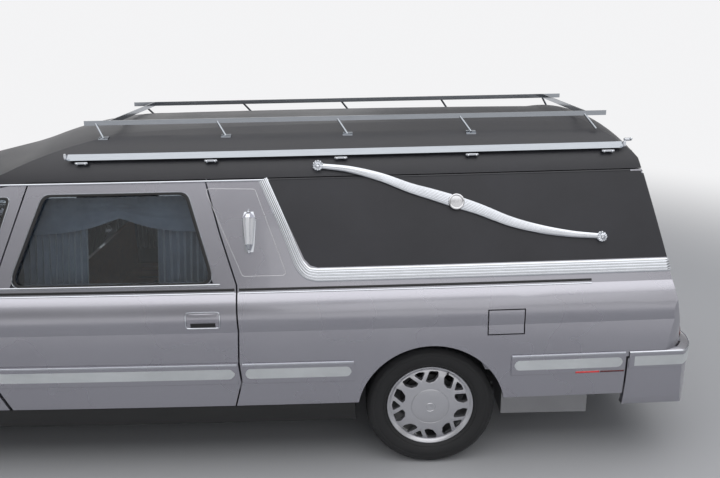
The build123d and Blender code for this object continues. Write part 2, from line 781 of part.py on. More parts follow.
def make_wheel(x, s):
    """Cast wheel with five groups of openings round its edge."""
    turned = [(28.08, 96), (58, 96), (60, 16), (190, 36), (205, 80), (205, 208), (rim_radius - .3, 208),
              (rim_radius - .3, 4), (212, 4), (206, 14), (98, 2), (90, -6), (28.08, -6)]
    f = make_face(Polyline(*[(r, 0, y) for r, y in turned], close=True))
    w = revolve(f, Axis((0, 0, 0), (0, 0, 1)), 360)
    w = one(w)
    for i in range(5):
        a0 = 90 + i * 72
        for da, wide in ((-21, 44), (21, 44)):
            w = w - Rot(0, 0, a0 + da) * Pos(168, 0, 20) * Box(34, wide, 120)
        w = w - Rot(0, 0, a0) * Pos(178, 0, 20) * Box(16, 14, 120)
    placed = Plane(origin=(x, s * (wheel_y + 102), tyre_radius), x_dir=(1, 0, 0),
                   z_dir=(0, -s, 0)) * w
    return one(placed)


def make_tyre(x, s):
    h = tyre_width / 2
    pts = [(rim_radius, -98), (245, -108), (285, -h), (318, -104), (tyre_radius, -78),
           (tyre_radius, 78), (318, 104), (285, h), (245, 108), (rim_radius, 98)]
    f = make_face(Polyline(*[(r, 0, y) for r, y in pts], close=True))
    t = one(revolve(f, Axis((0, 0, 0), (0, 0, 1)), 360))
    return one(Plane(origin=(x, s * wheel_y, tyre_radius), x_dir=(1, 0, 0),
                     z_dir=(0, -s, 0)) * t)


def make_side_rails():
    z0, z1 = 1604, 1631
    parts = [between(side_form(-22), side_form(-14), block(-10, 2750, -900, -300, z0, z1))]
    for x in (63, 701, 1341, 1991, 2673):
        foot = block(x - 14, x + 14, -900, -300, z0 - 4, z1 - 4)
        parts.append(between(side_form(-16), side_form(0), foot))
    half = one(parts[0].fuse(*parts[1:]))
    return Compound([half, other_side(half)])


rack_y = 430
rack_z0, rack_z1 = 1746, 1770


def make_rack():
    half = block(20, 2706, -rack_y - 3, -rack_y + 3, rack_z0, rack_z1)
    for x in (104, 730, 1350, 1980, 2620):
        foot_y = -rack_y - 50
        leg = rod((x - 25, -rack_y, rack_z0 + 8), (x + 25, foot_y, 1683), 6)
        pad = between(side_form(-6), side_form(-0.3), block(x, x + 50, foot_y - 14, foot_y + 14, 1600, 1740))
        half = one(one(half + one(leg - side_form(-3))) + pad)
    for x in (150, 2600):
        half = one(half + block(x - 3, x + 3, -rack_y, 0, rack_z0, rack_z1))
    return both_sides(half)


vinyl = 2.5                  # thickness of the vinyl over the rear quarters
vinyl_edge = [(3300, 1088), (1215, 1088), (1180, 1098), (1150, 1128), (1068, 1301), (978, 1499)]


def make_landau_cover():
    """Vinyl over the upper part of a rear quarter, inside its bright moulding."""
    zone = [(x + (3 if x < 3000 else 0), z + 3) for x, z in vinyl_edge[:-1]] + [(983, 1494), (3300, 1494)]
    cover = between(skin(-vinyl), skin(-0.3), prism_y(zone, -1100, -400))
    cover = one(cover - through_tail(grown(tail_door_yz, seam + 2)))
    driver_side = cover
    for z in tail_hinge_z:
        driver_side = one(driver_side - block(2835, 2990, -637, -540, z - 23, z + 23))
    return Compound([driver_side, other_side(cover)])


landau_line = [(1227, 1554, 13), (1266, 1549, 16), (1385, 1533, 19), (1532, 1495, 22),
               (1678, 1441, 26), (1776, 1412, 28), (1903, 1372, 30), (2020, 1333, 28),
               (2167, 1275, 26), (2315, 1236, 22), (2465, 1210, 19), (2586, 1198, 16),
               (2616, 1193, 13)]
landau_discs = [(1227, 1554, 28), (1903, 1372, 42), (2616, 1193, 28)]


def make_landau_bars():
    up, down = [], []
    for i, (x, z, w) in enumerate(landau_line):
        x0, z0, _ = landau_line[max(i - 1, 0)]
        x1, z1, _ = landau_line[min(i + 1, len(landau_line) - 1)]
        d = math.hypot(x1 - x0, z1 - z0)
        nx, nz = -(z1 - z0) / d, (x1 - x0) / d
        up.append((x + nx * w, z + nz * w))
        down.append((x - nx * w, z - nz * w))
    parts = [between(side_form(-20), side_form(-10), prism_y(up + down[::-1], -1000, -500))]
    for x, z, r in landau_discs:
        c = extrude(Plane(origin=(x, -1000, z), z_dir=(0, 1, 0)) * Circle(r), 500)
        parts.append(between(side_form(-24), side_form(-vinyl - 0.3), c))
    half = one(parts[0].fuse(*parts[1:]))
    return Compound([half, other_side(half)])


def make_coach_lamps():
    x = 886
    body = prism_y([(x - 20, 1167), (x + 20, 1167), (x + 32, 1320), (x + 8, 1356),
                    (x - 8, 1356), (x - 32, 1320)], -1000, -500)
    half = between(side_form(-62), side_form(0), body)
    return Compound([half, other_side(half)])


def make_landau_trim():
    band = [(932, 1499), (1023, 1301), (1092, 1133), (1112, 1085), (1135, 1050), (1180, 1022),
            (3300, 1022)] + vinyl_edge
    half = between(skin(-6), skin(0), prism_y(band, -1100, 0))
    half = one(half - through_tail(grown(tail_door_yz, seam)))
    return Compound([half, other_side(half)])


def pair(name, left):
    return {name + "_left": left, name + "_right": other_side(left)}


def build():
    parts = {
        "floor_pan": make_floor(), "cabin_frame": make_cabin_frame(), "hood": make_hood(),
        "front_bumper": make_front_bumper(), "grille": make_grille(),
        "headlamps": make_headlamps(), "windscreen": make_windscreen(), "cowl": make_cowl(),
        "dashboard": make_dash(), "roof": together(make_roof(), make_landau_cover()), "tail_door": make_tail_door(),
        "tail_door_glass": make_tail_glass(), "rear_bumper": make_rear_bumper(),
        "tail_lamps": make_tail_lamps(), "casket_deck": make_deck(),
        "front_seats": make_seats(), "powertrain": make_powertrain(),
        "front_subframe": make_subframe(), "rear_axle": make_rear_axle(),
        "roof_rails": together(make_side_rails(), make_rack()),
        "landau_bars": together(make_landau_bars(), make_landau_trim()),
        "coach_lamps": make_coach_lamps(), "fuel_door": make_fuel_door(),
    }
    parts.update(pair("front_fender", make_fender()))
    parts.update(pair("front_door", make_front_door()))
    parts.update(pair("front_door_glass", door_glass(front_window)))
    parts.update(pair("rear_door", make_rear_door()))
    parts.update(pair("rear_door_glass", door_glass(rear_window)))
    parts["quarter_left"] = make_quarter(True)
    parts["quarter_right"] = other_side(make_quarter(False))
    parts.update(pair("knuckle", make_knuckle()))
    for name, x in (("front", front_axle), ("rear", rear_axle)):
        for side, s in (("left", -1), ("right", 1)):
            parts["wheel_%s_%s" % (name, side)] = make_wheel(x, s)
            parts["tyre_%s_%s" % (name, side)] = make_tyre(x, s)
    return parts


os.makedirs("parts", exist_ok=True)
for name, part in build().items():
    export_step(part, "parts/" + name + ".step")
    b = part.bounding_box()
    print("%-22s solids %d  x %.0f..%.0f  y %.0f..%.0f  z %.0f..%.0f" % (
        name, len(part.solids()), b.min.X, b.max.X, b.min.Y, b.max.Y, b.min.Z, b.max.Z))
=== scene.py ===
import math

import bmesh
import bpy
import numpy as np
from mathutils import Matrix, Vector


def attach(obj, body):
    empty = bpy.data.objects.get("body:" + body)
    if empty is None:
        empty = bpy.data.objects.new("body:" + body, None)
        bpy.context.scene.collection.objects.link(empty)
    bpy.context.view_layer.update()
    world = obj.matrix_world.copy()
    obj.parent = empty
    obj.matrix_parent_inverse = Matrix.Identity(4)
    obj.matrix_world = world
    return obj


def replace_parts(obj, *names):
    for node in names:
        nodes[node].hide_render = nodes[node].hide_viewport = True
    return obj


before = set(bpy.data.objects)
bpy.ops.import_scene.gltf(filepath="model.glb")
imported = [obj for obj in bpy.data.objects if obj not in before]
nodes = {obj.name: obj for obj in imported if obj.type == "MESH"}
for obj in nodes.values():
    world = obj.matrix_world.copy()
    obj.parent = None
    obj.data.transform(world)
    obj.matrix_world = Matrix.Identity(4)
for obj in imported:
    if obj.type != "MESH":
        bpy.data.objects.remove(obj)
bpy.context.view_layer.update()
print("frame loaded:", len(nodes), "nodes")


# material helpers

def grey(v):
    return (v, v, v)


def shade(colour, factor, lift=0.0):
    return tuple(min(c * factor + lift, 1) for c in colour)


def addNode(tree, kind, *sources, **values):
    # the sources go to the first sockets in order, the values to sockets or settings of their names
    node = tree.nodes.new("ShaderNode" + kind)
    for key, value in values.items():
        if key in node.inputs:
            node.inputs[key].default_value = value
        else:
            setattr(node, key, value)
    for source, socket in zip(sources, node.inputs):
        tree.links.new(source, socket)
    return node


def ramp(tree, value, stops):
    # value mapped to the colours at the given stops
    node = addNode(tree, "ValToRGB", value)
    parts = node.color_ramp.elements
    while len(parts) < len(stops):
        parts.new(0.5)
    for part, (place, colour) in zip(parts, stops):
        part.position = place
        part.color = (*colour, 1)
    return node.outputs["Color"]


def times(tree, a, b):
    # product of two colours
    node = addNode(tree, "Mix", data_type="RGBA", blend_type="MULTIPLY")
    node.inputs["Factor"].default_value = 1.0
    tree.links.new(a, node.inputs[6])
    tree.links.new(b, node.inputs[7])
    return node.outputs[2]


class Finish:
    # a Principled material whose patterns read Object coordinates stretched by scale
    def __init__(self, name, scale=(1, 1, 1), **sockets):
        self.mat = bpy.data.materials.new(name)
        self.mat.use_nodes = True
        self.tree = self.mat.node_tree
        self.shader = self.tree.nodes["Principled BSDF"]
        for key, value in sockets.items():
            self.shader.inputs[key.replace("_", " ")].default_value = value
        place = addNode(self.tree, "TexCoord").outputs["Object"]
        self.place = addNode(self.tree, "Mapping", place, Scale=scale).outputs["Vector"]

    def noise(self, scale, detail, rough=0.55):
        node = addNode(self.tree, "TexNoise", self.place, Scale=scale, Detail=detail, Roughness=rough)
        return node.outputs["Fac"]

    def waves(self, scale, distortion, direction):
        return addNode(self.tree, "TexWave", self.place, Scale=scale, Distortion=distortion,
                       bands_direction=direction).outputs["Fac"]

    def colour(self, value, low, high, a, b):
        # base colour from low to high while the pattern's value runs from a to b
        self.tree.links.new(ramp(self.tree, value, [(a, low), (b, high)]), self.shader.inputs["Base Color"])

    def rough(self, value, low, high, a, b):
        stops = [(a, grey(low)), (b, grey(high))]
        self.tree.links.new(ramp(self.tree, value, stops), self.shader.inputs["Roughness"])

    def bump(self, height, strength, distance):
        node = addNode(self.tree, "Bump", Strength=strength, Distance=distance)
        self.tree.links.new(height, node.inputs["Height"])
        self.tree.links.new(node.outputs["Normal"], self.shader.inputs["Normal"])


def metallicPaint(name, colour, roughness):
    # flakes: fine noise changes the shade a little; clouds: slow noise for depth; clear coat on top
    f = Finish(name, Metallic=0.78, Roughness=roughness, Coat_Weight=1.0, Coat_Roughness=0.04)
    clouds = f.noise(1.7, 3)
    flakes = ramp(f.tree, f.noise(900, 2), [(0.35, shade(colour, 0.90)), (0.65, shade(colour, 1.07))])
    slow = ramp(f.tree, clouds, [(0.3, grey(0.95)), (0.7, grey(1.0))])
    f.tree.links.new(times(f.tree, flakes, slow), f.shader.inputs["Base Color"])
    f.rough(clouds, roughness - 0.03, roughness + 0.04, 0.3, 0.7)
    return f.mat


def chromeMetal(name, colour=(0.60, 0.62, 0.66), roughness=0.07, grain=0):
    # smudges: slow noise lifts the roughness here and there
    f = Finish(name, (1, 1, 1 + grain), Metallic=1.0)
    smudge = f.noise(14, 5)
    f.rough(smudge, roughness, roughness + 0.08, 0.4, 0.75)
    f.colour(smudge, colour, shade(colour, 0.93), 0.35, 0.8)
    return f.mat


def grainedSkin(name, colour, roughness, cell, depth):
    # leather grain: cells of a Voronoi pattern raised in the bump, with clouds in colour and roughness
    f = Finish(name)
    cells = addNode(f.tree, "TexVoronoi", f.place, feature="DISTANCE_TO_EDGE", Scale=cell)
    edges = ramp(f.tree, cells.outputs["Distance"], [(0.0, grey(0)), (0.25, grey(1))])
    clouds = f.noise(2.6, 5)
    f.colour(clouds, colour, shade(colour, 1.35, 0.004), 0.35, 0.7)
    f.rough(clouds, roughness - 0.06, roughness + 0.08, 0.3, 0.75)
    f.bump(times(f.tree, edges, f.noise(cell * 0.5, 6)), 0.35, depth)
    return f.mat


def plainMoulded(name, colour, roughness, metallic=0.0, grain=260, strength=0.12, coat=0.0):
    # moulded or painted surface with a fine stipple and a slight change of shade
    f = Finish(name, Metallic=metallic, Coat_Weight=coat)
    slow = f.noise(3.1, 4)
    f.colour(slow, colour, shade(colour, 1.25, 0.003), 0.3, 0.75)
    f.rough(slow, roughness, roughness + 0.1, 0.3, 0.75)
    f.bump(f.noise(grain, 3), strength, 0.0006)
    return f.mat


def tintedGlass(name, colour, roughness=0.0):
    # dust: very fine change of roughness over a clear tinted pane
    f = Finish(name, Transmission_Weight=1.0, IOR=1.45)
    dust = f.noise(6, 5)
    f.rough(dust, roughness, roughness + 0.03, 0.45, 0.8)
    f.colour(dust, colour, shade(colour, 0.94), 0.4, 0.8)
    return f.mat


def lensPlastic(name, colour, scale, weight=0.75):
    # ribbed lens: wave bands in the bump over a coloured clear plastic
    f = Finish(name, (0.2, 1, 1), Transmission_Weight=weight, IOR=1.49, Roughness=0.12)
    bands = f.waves(scale, 0.0, "Y")
    f.colour(bands, shade(colour, 0.8), colour, 0.2, 0.8)
    f.bump(bands, 0.4, 0.002)
    return f.mat


def wovenCloth(name, colour, threads):
    # weave: two crossed wave patterns multiplied
    f = Finish(name, Roughness=0.85, Sheen_Weight=0.4)
    weave = times(f.tree, f.waves(threads, 0.4, "X"), f.waves(threads, 0.4, "Z"))
    tone = ramp(f.tree, f.noise(9, 4), [(0.3, colour), (0.75, shade(colour, 1.4, 0.01))])
    thread = ramp(f.tree, weave, [(0, grey(0.8)), (1, grey(1))])
    f.tree.links.new(times(f.tree, tone, thread), f.shader.inputs["Base Color"])
    f.bump(weave, 0.3, 0.0005)
    return f.mat


def grainWood(name, colour, roughness):
    # long grain: noise stretched along x
    f = Finish(name, (0.8, 9, 9), Coat_Weight=0.6, Coat_Roughness=0.1)
    grain = f.noise(6, 8, 0.65)
    f.colour(grain, shade(colour, 0.45), colour, 0.35, 0.6)
    f.rough(grain, roughness, roughness + 0.12, 0.3, 0.7)
    f.bump(grain, 0.08, 0.0006)
    return f.mat


silverPaint = metallicPaint("silverPaint", (0.41, 0.405, 0.45), 0.27)
wheelSilver = metallicPaint("wheelSilver", (0.60, 0.60, 0.63), 0.28)
chrome = chromeMetal("chrome")
satinChrome = chromeMetal("satinChrome", (0.62, 0.62, 0.64), 0.2)
railChrome = chromeMetal("railChrome", (0.33, 0.35, 0.38), 0.14, 8)
mirrorFace = chromeMetal("mirrorFace", (0.9, 0.9, 0.92), 0.02)
vinyl = grainedSkin("roofVinyl", (0.021, 0.021, 0.026), 0.42, 210, 0.0012)
seatLeather = grainedSkin("seatLeather", (0.035, 0.035, 0.042), 0.42, 330, 0.0008)
drapeCloth = wovenCloth("drapeCloth", (0.115, 0.14, 0.185), 700)
deckWood = grainWood("deckWood", (0.23, 0.11, 0.055), 0.28)
darkGlass = tintedGlass("darkGlass", (0.74, 0.79, 0.82))
clearGlass = tintedGlass("clearGlass", (0.90, 0.94, 0.93))
lampClear = tintedGlass("lampClear", (0.95, 0.97, 0.98), 0.02)
lampGlass = lensPlastic("lampGlass", (0.80, 0.82, 0.85), 60, 0.35)
redLens = lensPlastic("redLens", (0.55, 0.012, 0.02), 90)
amberLens = lensPlastic("amberLens", (0.85, 0.30, 0.03), 90, 0.4)
darkRedLens = plainMoulded("darkRedLens", (0.10, 0.004, 0.010), 0.2, coat=1.0)
reflectorRed = plainMoulded("reflectorRed", (0.75, 0.03, 0.03), 0.18, coat=1.0)
blackRubber = plainMoulded("blackRubber", (0.012, 0.012, 0.013), 0.55)
tyreRubber = plainMoulded("tyreRubber", (0.016, 0.016, 0.017), 0.62, grain=420, strength=0.2)
chassisBlack = plainMoulded("chassisBlack", (0.018, 0.018, 0.018), 0.5, grain=120)
castMetal = plainMoulded("castMetal", (0.32, 0.32, 0.33), 0.48, 0.9, 160, 0.3)
darkTrim = plainMoulded("darkTrim", (0.045, 0.045, 0.05), 0.6, grain=300, strength=0.25)
panelBlack = plainMoulded("panelBlack", (0.008, 0.008, 0.009), 0.35)
insertGrey = plainMoulded("insertGrey", (0.60, 0.62, 0.63), 0.35, 0.15, 500, 0.1)
lampPane = plainMoulded("lampPane", (0.86, 0.86, 0.88), 0.22, grain=60, strength=0.05, coat=1.0)
plateBlank = plainMoulded("plateBlank", (0.62, 0.62, 0.60), 0.3, grain=90, strength=0.05, coat=0.6)

nodeFinish = {
    silverPaint: "hood front_bumper rear_bumper front_fender front_door rear_door quarter tail_door "
                 "cabin_frame fuel_door cowl",
    vinyl: "roof", railChrome: "roof_rails", chrome: "grille landau_bars coach_lamps",
    clearGlass: "windscreen", darkGlass: "front_door_glass rear_door_glass tail_door_glass",
    lampGlass: "headlamps", redLens: "tail_lamps", chassisBlack: "floor_pan front_subframe rear_axle",
    castMetal: "knuckle powertrain", darkTrim: "dashboard", seatLeather: "front_seats",
    deckWood: "casket_deck", wheelSilver: "wheel", tyreRubber: "tyre",
}
finishOf = {key: material for material, keys in nodeFinish.items() for key in keys.split()}
for name, piece in nodes.items():
    key = name
    while key not in finishOf and "_" in key:
        key = key.rsplit("_", 1)[0]
    piece.data.materials.clear()
    piece.data.materials.append(finishOf[key])
print("finishes made")


# mesh helpers

def makeMesh(name, points, faces, body, material, smooth=True):
    # points (n, 3) and faces (m, k) put into one mesh that rides on a body
    points = np.asarray(points, float).reshape(-1, 3)
    mesh = bpy.data.meshes.new(name)
    mesh.from_pydata(points.tolist(), [], [list(f) for f in faces])
    mesh.validate()
    mesh.materials.append(material)
    mesh.polygons.foreach_set("use_smooth", np.full(len(mesh.polygons), smooth))
    mesh.update()
    if smooth:
        mesh.set_sharp_from_angle(angle=math.radians(38))
    piece = bpy.data.objects.new(name, mesh)
    bpy.context.scene.collection.objects.link(piece)
    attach(piece, body)
    return piece


def outwardFaces(piece):
    # doubles merged, then normals turned outward
    bm = bmesh.new()
    bm.from_mesh(piece.data)
    bmesh.ops.remove_doubles(bm, verts=bm.verts, dist=1e-6)
    bmesh.ops.recalc_face_normals(bm, faces=bm.faces)
    bm.to_mesh(piece.data)
    bm.free()
    return piece


def evaluatedMesh(piece):
    # the piece's mesh as its modifiers leave it
    bpy.context.view_layer.update()
    return bpy.data.meshes.new_from_object(piece.evaluated_get(bpy.context.evaluated_depsgraph_get()))


def meshPoints(mesh):
    points = np.zeros(len(mesh.vertices) * 3)
    mesh.vertices.foreach_get("co", points)
    return points.reshape(-1, 3)


def gridFaces(n, m, closeU=False, closeV=False, start=0):
    # quads of an n by m grid of points, wrapped round where closed
    i = np.arange(n if closeU else n - 1)
    j = np.arange(m if closeV else m - 1)
    a, b = (k.ravel() for k in np.meshgrid(i, j, indexing="ij"))
    a1, b1 = (a + 1) % n, (b + 1) % m
    return np.stack([a * m + b, a1 * m + b, a1 * m + b1, a * m + b1], 1) + start


class Pile:
    # several grids gathered into one mesh
    def __init__(self):
        self.points, self.faces, self.count = [], [], 0

    def add(self, grid, closeU=False, closeV=False, caps=False):
        n, m = grid.shape[:2]
        self.faces += gridFaces(n, m, closeU, closeV, self.count).tolist()
        if caps:
            end = np.arange(m) + self.count
            self.faces += [end.tolist(), (end + (n - 1) * m)[::-1].tolist()]
        self.points.append(grid.reshape(-1, 3))
        self.count += n * m
        return self

    def rod(self, grid):
        # closed section carried along an open path, both ends capped
        return self.add(grid, closeV=True, caps=True)

    def ring(self, grid):
        # closed section carried round a closed loop
        return self.add(grid, closeU=True, closeV=True)

    def spun(self, grid):
        # open outline turned round an axis
        return self.add(grid, closeU=True)

    def mirrored(self):
        # the same grids on the other side of the centre plane, faces turned back outward
        self.points.append(np.concatenate(self.points) * [1, -1, 1])
        self.faces += [[v + self.count for v in f][::-1] for f in self.faces]
        self.count *= 2
        return self

    def flipped(self):
        self.points = [p * [1, -1, 1] for p in self.points]
        self.faces = [f[::-1] for f in self.faces]
        return self

    def make(self, name, body, material, slot=None, smooth=True):
        points = np.concatenate(self.points)
        return outwardFaces(makeMesh(name, points, self.faces, body, material, smooth))


sides = {"left": 1, "right": -1}


def bothSides(pile, name, body, material, slot=None, smooth=True):
    # a driver's side pile and its mirror image, each on its own body
    pieces = []
    for side in sides:
        pieces.append(pile.make(f"{name}_{side}", body.replace("%s", side), material, slot, smooth))
        pile.flipped()
    return pieces


def unit(v):
    return v / np.maximum(np.linalg.norm(v, axis=-1, keepdims=True), 1e-12)


def plane(u, v):
    # grid of parameters, each given as (first, last, count)
    return np.meshgrid(np.linspace(*u), np.linspace(*v), indexing="ij")


def circle(radius, steps):
    a = np.linspace(0, 2 * np.pi, steps, endpoint=False)
    return radius * np.column_stack([np.cos(a), np.sin(a)])


def tangents(path, closed=False):
    return unit(np.roll(path, -1, 0) - np.roll(path, 1, 0) if closed else np.gradient(path, axis=0))


def alongPath(path, out, up, profile):
    # profile of pairs carried along a path: point = path + out * pair[0] + up * pair[1]
    out, up = np.broadcast_to(out, path.shape), np.broadcast_to(up, path.shape)
    profile = np.asarray(profile, float)
    return path[:, None] + out[:, None] * profile[..., :1] + up[:, None] * profile[..., 1:]


def swept(path, out, profile, closed=False):
    # as alongPath, the second direction square to the path and to out
    return alongPath(path, out, unit(np.cross(tangents(path, closed), out)), profile)


def strip(surface, points, profile, closed=False, steps=1):
    # profile carried along a line of points drawn on a surface, each span cut into steps
    pts = np.asarray(points, float)
    if closed:
        pts = np.vstack([pts, pts[:1]])
    t = np.linspace(0, 1, steps, endpoint=False)
    line = (pts[:-1, None] + (pts[1:] - pts[:-1])[:, None] * t[None, :, None]).reshape(-1, 2)
    if not closed:
        line = np.vstack([line, pts[-1:]])
    path, normal = surface(line[:, 0], line[:, 1])
    return swept(path, normal, profile, closed)


def ringOn(surface, loop, profile, steps=1):
    return Pile().ring(strip(surface, loop, profile, True, steps))


def turned(profile, centre, axis, steps=48):
    # profile of (radius, height along the axis) spun about the axis through centre
    axis = unit(np.asarray(axis, float))
    side = unit(np.cross(axis, [0.31, 0.52, 0.79]))
    ring = circle(1, steps) @ np.stack([side, np.cross(axis, side)])
    r, h = np.asarray(profile, float).T
    return np.asarray(centre) + ring[:, None, :] * r[None, :, None] + axis * h[None, :, None]


def superBox(centre, size, power, rows=24, cols=48):
    # rounded box: signed powers of sines and cosines
    u, v = np.meshgrid(np.linspace(0, 2 * np.pi, cols, endpoint=False),
                       np.linspace(-np.pi / 2 + 1e-8, np.pi / 2 - 1e-8, rows), indexing="ij")

    def bend(c):
        return np.sign(c) * np.abs(c) ** (2 / power)
    ring = bend(np.cos(v))
    box = np.stack([ring * bend(np.cos(u)), ring * bend(np.sin(u)), bend(np.sin(v))], -1)
    return np.asarray(centre) + box * np.asarray(size)


def wrapped(front, back):
    # two sheets joined round their rims, as one closed section
    return np.concatenate([front, back[:, ::-1]], 1)


def evenly(path, count):
    # the path's points spaced evenly along its length
    length = np.concatenate([[0], np.cumsum(np.linalg.norm(np.diff(path, axis=0), axis=1))])
    even = np.linspace(0, length[-1], count)
    return np.stack([np.interp(even, length, column) for column in path.T], 1)


def smoothLine(points, steps):
    # Catmull-Rom curve through points of any width
    p = np.asarray(points, float)
    p = np.vstack([2 * p[0] - p[1], p, 2 * p[-1] - p[-2]])
    t = np.linspace(0, 1, steps, endpoint=False)[:, None]
    parts = [0.5 * (2 * b + (c - a) * t + (2 * a - 5 * b + 4 * c - d) * t ** 2
                    + (3 * b - a - 3 * c + d) * t ** 3)
             for a, b, c, d in zip(p[:-3], p[1:-2], p[2:-1], p[3:])]
    return np.vstack(parts + [p[-2:-1]])


def roundedLoop(corners, radius, steps=6):
    # closed loop of points with each corner rounded by a quadratic curve
    pts = np.asarray(corners, float)
    out = []
    for p, q, r in zip(np.roll(pts, 1, 0), pts, np.roll(pts, -1, 0)):
        u, v = unit(p - q), unit(r - q)
        halfAngle = math.acos(max(-1, min(1, float(u @ v)))) / 2
        cut = min(radius / math.tan(halfAngle), 0.45 * min(np.linalg.norm(p - q), np.linalg.norm(r - q)))
        t = np.linspace(0, 1, steps)[:, None]
        out.append((1 - t) ** 2 * (q + u * cut) + 2 * t * (1 - t) * q + t ** 2 * (q + v * cut))
    return np.vstack(out)


def roundedBox(u0, u1, v0, v1, radius):
    return roundedLoop([(u0, v1), (u1, v1), (u1, v0), (u0, v0)], radius)


def spread(loop, share):
    return loop + (loop - loop.mean(0)) * share


def flatBar(wide, height):
    # low rounded bar section
    return [(-.001, wide), (height * .6, wide * .9), (height, wide * .45), (height, -wide * .45),
            (height * .6, -wide * .9), (-.001, -wide)]


def ribbed(ridge, wide):
    # flat section with a fine wave across it, closed at the back
    v = np.linspace(-1, 1, len(ridge))
    return np.column_stack([np.concatenate([[-.001], ridge, [-.001]]), np.concatenate([[-1], v, [1]]) * wide])


def ridged(wide):
    # cross-section: low crown with five round ridges
    v = np.linspace(-1, 1, 41)
    ridges = 0.0011 * np.abs(np.sin(v * 2.5 * np.pi + np.pi / 2)) ** 0.6
    return ribbed(.0030 + .0036 * (1 - v ** 4) + ridges, wide)


insertSection = ribbed(.0030 + .0008 * np.cos(np.linspace(-1, 1, 25) * 8 * np.pi), .026)


# the body's surfaces, worked out as the CAD source does

bodyForm = {
    "bowRadius": 60.0, "bowX": 0.3, "roofCrownZ": -0.9,
    "sideArcs": [[(-.680, 1.500), (-.786, 1.240), (-.885, .985)],
                 [(-.885, .985), (-.927, .928), (-.943, .800)],
                 [(-.943, .800), (-.957, .560), (-.940, .370)],
                 [(-.940, .370), (-.893, .275), (-.800, .215)]],
    "planArcs": [[(2.925, .905), (3.030, .830), (3.066, .690)],
                 [(3.066, .690), (3.094, .350), (3.105, .0)]],
    "tailTop": (2.826, 1.625), "tailLow": (3.080, .760), "tailFoot": (3.096, .600),
    "frontArcs": [[(-3.150, 0), (-3.128, -.330), (-3.060, -.620)],
                  [(-3.060, -.620), (-2.985, -.790), (-2.800, -.905)]],
    "screenFoot": (-1.750, .960), "screenRun": (.750, .515),
}
tailLean = math.atan2(.254, .865)
tailSquare = np.array([math.cos(tailLean), 0, math.sin(tailLean)])


def circleOf(a, b, c):
    # centre and radius of the circle through three points
    ax, ay, bx, by, cx, cy = *a, *b, *c
    d = 2 * (ax * (by - cy) + bx * (cy - ay) + cx * (ay - by))
    aa, bb, cc = ax * ax + ay * ay, bx * bx + by * by, cx * cx + cy * cy
    ux = (aa * (by - cy) + bb * (cy - ay) + cc * (ay - by)) / d
    uy = (aa * (cx - bx) + bb * (ax - cx) + cc * (bx - ax)) / d
    return ux, uy, math.hypot(ax - ux, ay - uy)


def planArc(arcs, y, x, sign):
    # x on the arc that spans y: centre plus or minus the root of radius squared less height squared
    for arc in arcs:
        cx, cy, r = circleOf(*arc)
        here = (y <= arc[0][1]) & (y >= arc[2][1])
        x = np.where(here, cx + sign * np.sqrt(np.maximum(r * r - (y - cy) ** 2, 0)), x)
    return x


def sideHalf(x, z):
    # half width of the body: the section's arc at height z, narrowed by the bow away from bowX
    x, z = np.broadcast_arrays(np.asarray(x, float), np.asarray(z, float))
    y = np.full(z.shape, 0.0)
    for k, arc in enumerate(bodyForm["sideArcs"]):
        cy, cz, r = circleOf(*arc)
        low, high = arc[2][1], arc[0][1]
        here = (z >= low) & (z <= high) if k else (z >= low)
        reach = np.sqrt(np.maximum(r * r - (z - cz) ** 2, 0))
        y = np.where(here & (y == 0), cy + math.copysign(1, arc[1][0] - cy) * reach, y)
    bow = bodyForm["bowRadius"]
    return np.sqrt((bow - y) ** 2 - (x - bodyForm["bowX"]) ** 2) - bow


def planRear(y):
    # how far back the rounded plan reaches at half width y
    y = np.abs(y)
    return planArc(bodyForm["planArcs"], y, 2.760 + (1.0 - y) / 0.095 * 0.165, 1)


def tailRear(y, z):
    # how far back the crowned tail reaches
    c = bodyForm["roofCrownZ"]
    h = c + np.sqrt((z - c) ** 2 + y * y)
    (xt, zt), (xl, zl), (xf, zf) = (bodyForm[k] for k in ("tailTop", "tailLow", "tailFoot"))
    return np.where(h > zl, xl + (xt - xl) * (h - zl) / (zt - zl),
                    xf + (xl - xf) * np.clip((h - zf) / (zl - zf), 0, 1))


def lastInside(start, direction, far, inside):
    # where rays leave a form, found by halving
    lo, hi = np.zeros(start.shape[:-1]), np.full(start.shape[:-1], far)
    for _ in range(40):
        mid = (lo + hi) / 2
        here = inside(start + direction * mid[..., None])
        lo, hi = np.where(here, mid, lo), np.where(here, hi, mid)
    return start + direction * lo[..., None]


def sidePoint(x, z, out=0.0):
    # point on the driver's side skin, moved outward
    x, z = np.broadcast_arrays(np.asarray(x, float), np.asarray(z, float))
    e = 1e-3
    slopeZ = (sideHalf(x, z - e) - sideHalf(x, z + e)) / (2 * e)
    slopeX = (sideHalf(x - e, z) - sideHalf(x + e, z)) / (2 * e)
    normal = unit(np.stack([slopeX, -np.ones_like(x), slopeZ], -1))
    return np.stack([x, -sideHalf(x, z), z], -1) + normal * np.asarray(out)[..., None], normal


def tailPoint(y, z, out=0.0):
    # drawn at x = 3 and run square to the sloping tail until it meets the skin, then moved outward
    y, z = np.broadcast_arrays(np.asarray(y, float), np.asarray(z, float))

    def meet(y, z):
        start = np.stack([np.full(y.shape, 3.0), y, z], -1) - .48 * tailSquare
        return lastInside(start, tailSquare, .9,
                          lambda p: (p[..., 0] < planRear(y)) & (p[..., 0] < tailRear(y, p[..., 2])))
    e = 2e-3
    normal = unit(np.cross(meet(y + e, z) - meet(y - e, z), meet(y, z + e) - meet(y, z - e)))
    return meet(y, z) + normal * np.asarray(out)[..., None], normal


